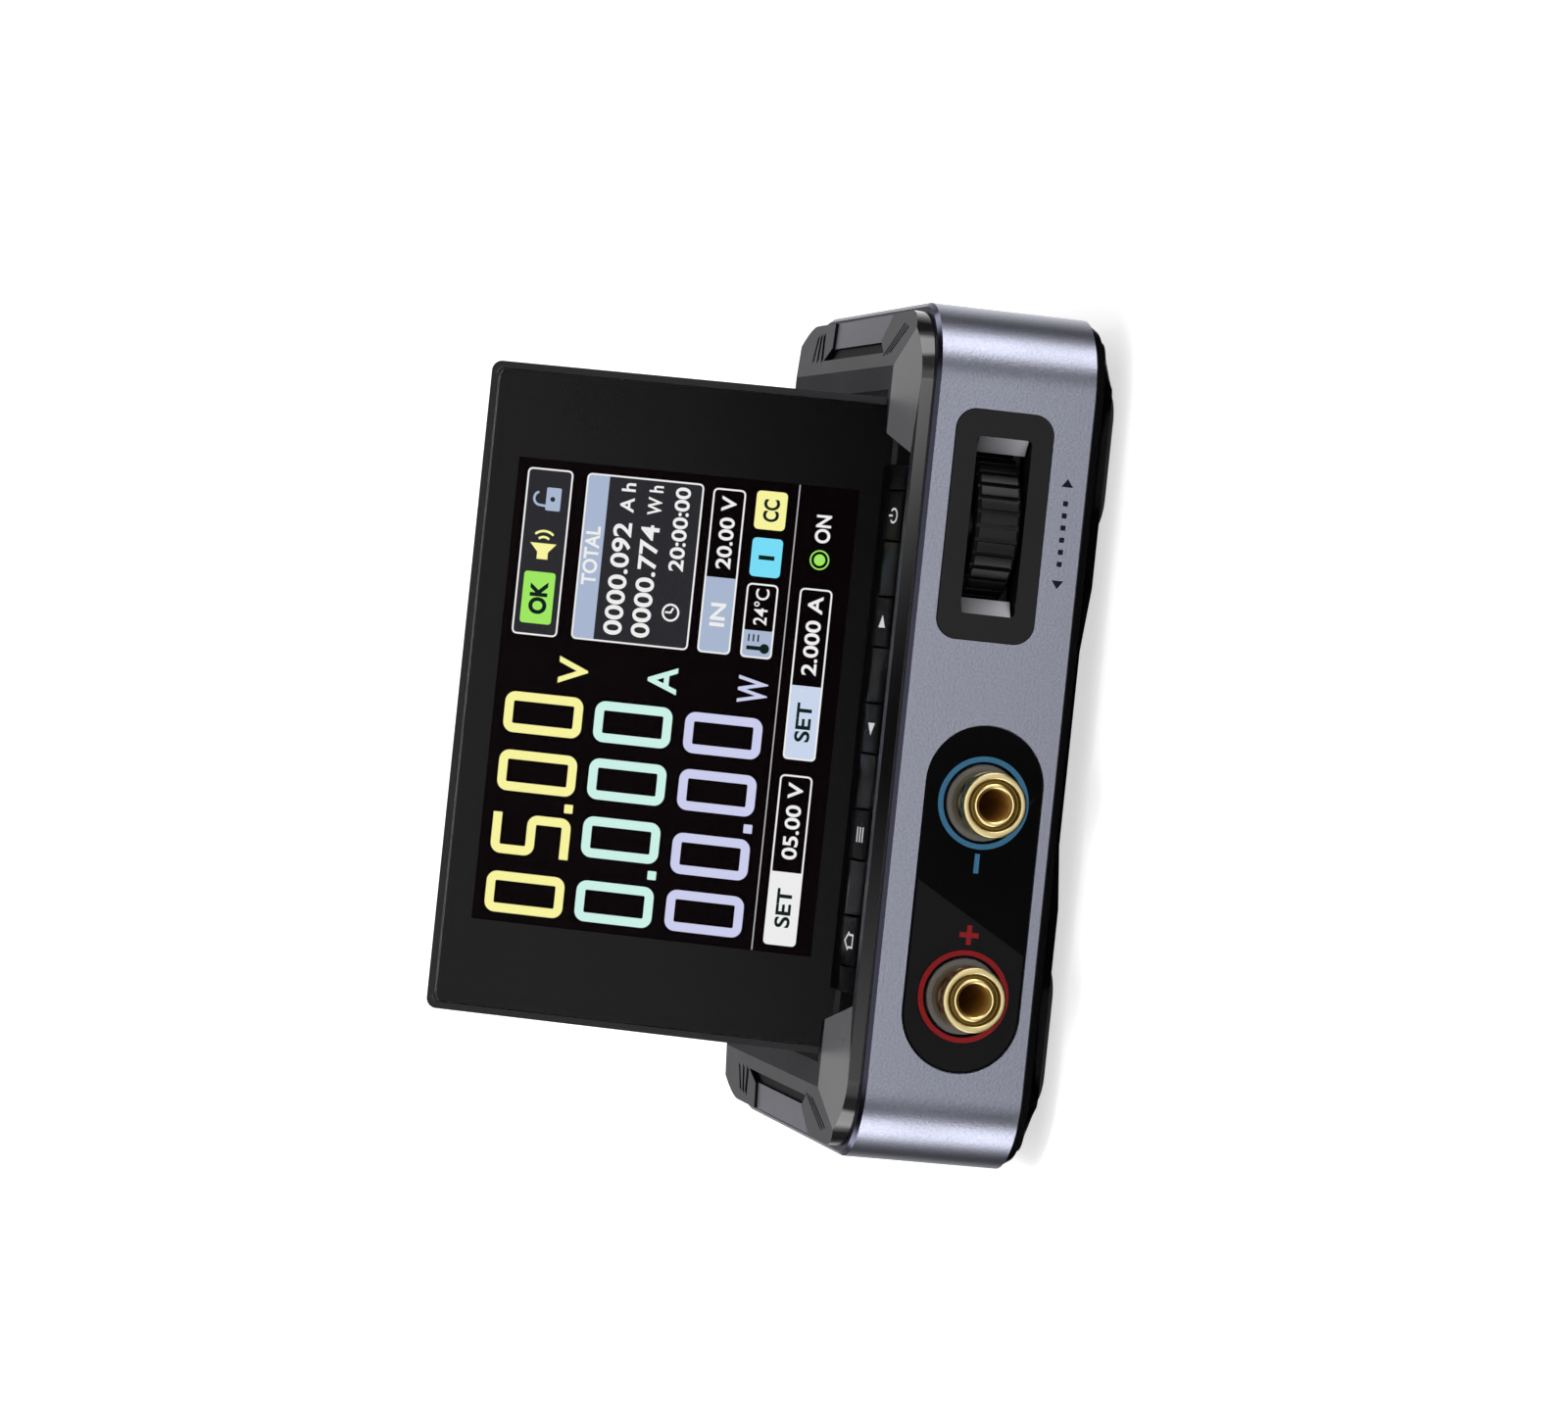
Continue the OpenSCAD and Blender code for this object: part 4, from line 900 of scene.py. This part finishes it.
glass_print = finish("glass print black", paint(2, 2, 2), 0.1, spread=0.08, drift=0.02,
                     Specular_IOR_Level=0.5)
print_margin, print_round, print_lift, print_thick = 0.05, 1.3, 0.004, 0.01
glass_foot, glass_head = 0.65, 51.6
print_x = -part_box("cover_glass")[0].x / MM - print_margin
print_foot, print_head = glass_foot + print_margin - screen_mid, glass_head - print_margin - screen_mid
rim = rounded_box(-print_x, print_foot, print_x, print_head, print_round)
window = rounded_box(-screen_w / 2, -screen_h / 2, screen_w / 2, screen_h / 2, screen_round)
printed("glass_print", [holed_plate(rim, window, 0, print_thick)], on_screen(glass_under + print_lift),
        glass_print, "display")
WHITE = (1.0, 1.0, 1.0, 1.0)
cover_glass, glass_tree, glass_shader = new_material("coated glass")
glass_grain = add_grain(glass_tree, WHITE, 0.03, 800, 0.0, 0.02, 60)
glass_tree.links.new(glass_grain.outputs["Roughness"], glass_shader.inputs["Roughness"])
set_inputs(glass_shader, Base_Color=WHITE, Transmission_Weight=1.0, Specular_Tint=(0.06, 0.06, 0.06, 1.0))
dress("cover_glass", cover_glass, edge=0.1)


# Table, light and camera
# The part stands on a pale table under soft light. The camera stands in front of it, a little higher, and is
# turned on its side.

table = bpy.data.objects.new("table", bpy.data.meshes.new("table"))
half = 2.0
table.data.from_pydata([(-half, -half, 0), (half, -half, 0), (half, half, 0), (-half, half, 0)], [],
                       [(0, 1, 2, 3)])
bpy.context.scene.collection.objects.link(table)


def studio_walls():
    """How bright the studio looks in a mirror, by the angle from the front and by the height.

    The low ring shines from below the horizon, through the table, with a tall softbox at each side and a
    dark gap in front. The high ring is the room above, with a light behind, a window in front and a faint
    light right overhead."""
    group, given, made = new_group("studio_walls", {"Power": 1.0}, {"Brightness": "NodeSocketFloat"})
    way = node(group, "ShaderNodeTexCoord").outputs["Generated"]
    axes = node(group, "ShaderNodeSeparateXYZ", [(0, way)]).outputs
    ahead = maths(group, "MULTIPLY", axes["Y"], -1.0)
    turns = maths(group, "DIVIDE", maths(group, "ARCTAN2", axes["X"], ahead), 2 * math.pi)
    share = maths(group, "ADD", turns, 0.5)
    brightest = 7.0

    def around(levels):
        """A brightness that changes with the angle from the front, in degrees, less than 0 at the left."""
        ramp = node(group, "ShaderNodeValToRGB", [(0, share)])
        stops = ramp.color_ramp.elements
        while len(stops) < len(levels):
            stops.new(0.5)
        for stop, (degrees, level) in zip(stops, levels.items()):
            stop.position = degrees / 360 + 0.5
            stop.color = (level / brightest,) * 3 + (1,)
        return maths(group, "MULTIPLY", ramp.outputs["Color"], brightest)

    def step(source, start, end):
        """0 below start and 1 above end, with a soft change between them."""
        links = [("Value", source), ("From Min", start), ("From Max", end)]
        return node(group, "ShaderNodeMapRange", links, interpolation_type="SMOOTHSTEP").outputs[0]

    def times(one, other):
        return maths(group, "MULTIPLY", one, other)

    def plus(one, other):
        return maths(group, "ADD", one, other)

    low = around({-180: 1.1, -172: 0.7, -147: 0.7, -138: 0.25, -125: 0.07, -104: 0.2, -93: 1.5, -85: 5.8,
                  -60: 6.0, -53: 0.4, -35: 0.35, -27: 1.15, -4.9: 1.75, -3.5: 1.0, -2.1: 0.0, 0.7: 0.0,
                  2.1: 1.3, 3.5: 4.6, 6: 1.7, 17: 1.6, 25: 0.55, 43: 0.6, 50: 6.3, 74: 5.9, 83: 1.1,
                  93: 0.15, 110: 0.1, 118: 0.6, 137: 1.6, 150: 1.6, 172: 1.8, 180: 1.2})
    high = around({-180: 0.02, -175: 0.02, -171: 0.4, -160: 0.2, -120: 0.05, -99: 0.4, -89: 3.5, -57: 3.5,
                   -50: 0.3, -40: 0.3, -30: 1.0, -20: 2.6, 15: 2.6, 20: 1.0, 30: 0.3, 40: 0.3, 47: 3.5,
                   79: 3.5, 89: 0.4, 115: 0.1, 150: 0.3, 168: 0.5, 173: 0.3, 176: 0.02, 180: 0.02})
    down = times(axes["Z"], -1.0)
    table_shade = step(axes["Z"], -0.45, -0.17)
    ceiling = step(down, -0.42, -0.27)
    back = times(step(axes["Y"], 0.1, 0.5), times(step(axes["Z"], 0.42, 0.48), step(down, -0.76, -0.68)))
    window = times(step(ahead, 0.5, 0.8), step(plus(axes["Z"], times(axes["X"], -0.3)), 0.53, 0.6))
    zenith = step(axes["Z"], 0.94, 0.97)
    back_level, window_level, zenith_level = 1.2, 0.42, 0.22
    lamps = plus(times(back, back_level), plus(times(window, window_level), times(zenith, zenith_level)))
    both = node(group, "ShaderNodeMix", [("Factor", step(axes["Z"], -0.15, -0.04)),
                                         ("A", times(low, table_shade)),
                                         ("B", plus(times(high, ceiling), lamps))])
    group.links.new(times(both.outputs[0], given.outputs["Power"]), made.inputs["Brightness"])
    return group


def mirror_ray(tree):
    """Two marks: 1 where a mirror or glass looks, and 1 where the camera does."""
    path = node(tree, "ShaderNodeLightPath").outputs
    return maths(tree, "MAXIMUM", path["Is Glossy Ray"], path["Is Transmission Ray"]), path["Is Camera Ray"]


def either(tree, mark, one, other):
    """One shader where the mark is 0 and the other where it is 1."""
    return node(tree, "ShaderNodeMixShader", [(0, mark), (1, one), (2, other)]).outputs[0]


table_white, table_tree, table_shader = new_material("table white")
set_inputs(table_shader, Base_Color=paint(240, 240, 241), Roughness=0.9, Specular_IOR_Level=0.0)
mirror, camera_ray = mirror_ray(table_tree)
glow = node(table_tree, "ShaderNodeEmission", [("Strength", 0.6)]).outputs[0]
plain = table_shader.outputs[0]
seen = node(table_tree, "ShaderNodeAddShader", [(0, plain), (1, glow)]).outputs[0]
clear = node(table_tree, "ShaderNodeBsdfTransparent").outputs[0]
table_out = either(table_tree, mirror, either(table_tree, camera_ray, plain, seen), clear)
table_tree.links.new(table_out, table_tree.nodes["Material Output"].inputs["Surface"])
table.data.materials.append(table_white)

world = bpy.data.worlds.new("studio")
bpy.context.scene.world = world
world.use_nodes = True
world_tree = world.node_tree
backdrop = world_tree.nodes["Background"]
set_inputs(backdrop, Color=WHITE)
walls = node(world_tree, "ShaderNodeGroup", node_tree=studio_walls()).outputs["Brightness"]
room, mirrored = (
    node(world_tree, "ShaderNodeBackground", [("Color", WHITE), ("Strength", power)]).outputs[0]
    for power in (0.6, walls))
mirror, camera_ray = mirror_ray(world_tree)
world_out = either(world_tree, camera_ray, either(world_tree, mirror, room, mirrored), backdrop.outputs[0])
world_tree.links.new(world_out, world_tree.nodes["World Output"].inputs["Surface"])


def softbox(name, at, towards, width, height, power):
    """A rectangular lamp that looks from one place towards another, in metres."""
    lamp = bpy.data.objects.new(name, bpy.data.lights.new(name, "AREA"))
    lamp.data.shape = "RECTANGLE"
    lamp.data.size, lamp.data.size_y = width, height
    lamp.data.energy = power
    lamp.location = at
    lamp.visible_glossy = False
    lamp.rotation_euler = (Vector(towards) - Vector(at)).to_track_quat("-Z", "Y").to_euler()
    bpy.context.scene.collection.objects.link(lamp)


softbox("top softbox", (-0.15, 0.1, 0.9), (0, 0, 0), 0.5, 0.5, 3.0)

IMAGE_WIDTH = 1600
FOCAL_PIXELS = 5700
eye = Vector((8.594, -698.255, 177.985)) * MM
look_down, look_right, roll = math.radians(11.816), -0.01069, math.radians(84.149)
forward = Vector((math.sin(look_right), math.cos(look_right), -math.tan(look_down))).normalized()
level = forward.cross(Vector((0, 0, 1))).normalized()
upright = level.cross(forward)
picture_right = level * math.cos(roll) - upright * math.sin(roll)
picture_up = level * math.sin(roll) + upright * math.cos(roll)
camera = bpy.data.objects.new("camera", bpy.data.cameras.new("camera"))
camera.data.sensor_fit = "HORIZONTAL"
camera.data.sensor_width = 36
camera.data.lens = camera.data.sensor_width * FOCAL_PIXELS / IMAGE_WIDTH
camera.data.clip_start = 0.01
turned = Matrix((picture_right, picture_up, -forward)).transposed()
camera.matrix_world = Matrix.Translation(eye) @ turned.to_4x4()
bpy.context.scene.collection.objects.link(camera)
bpy.context.scene.camera = camera
bpy.context.scene.view_settings.view_transform = "Standard"
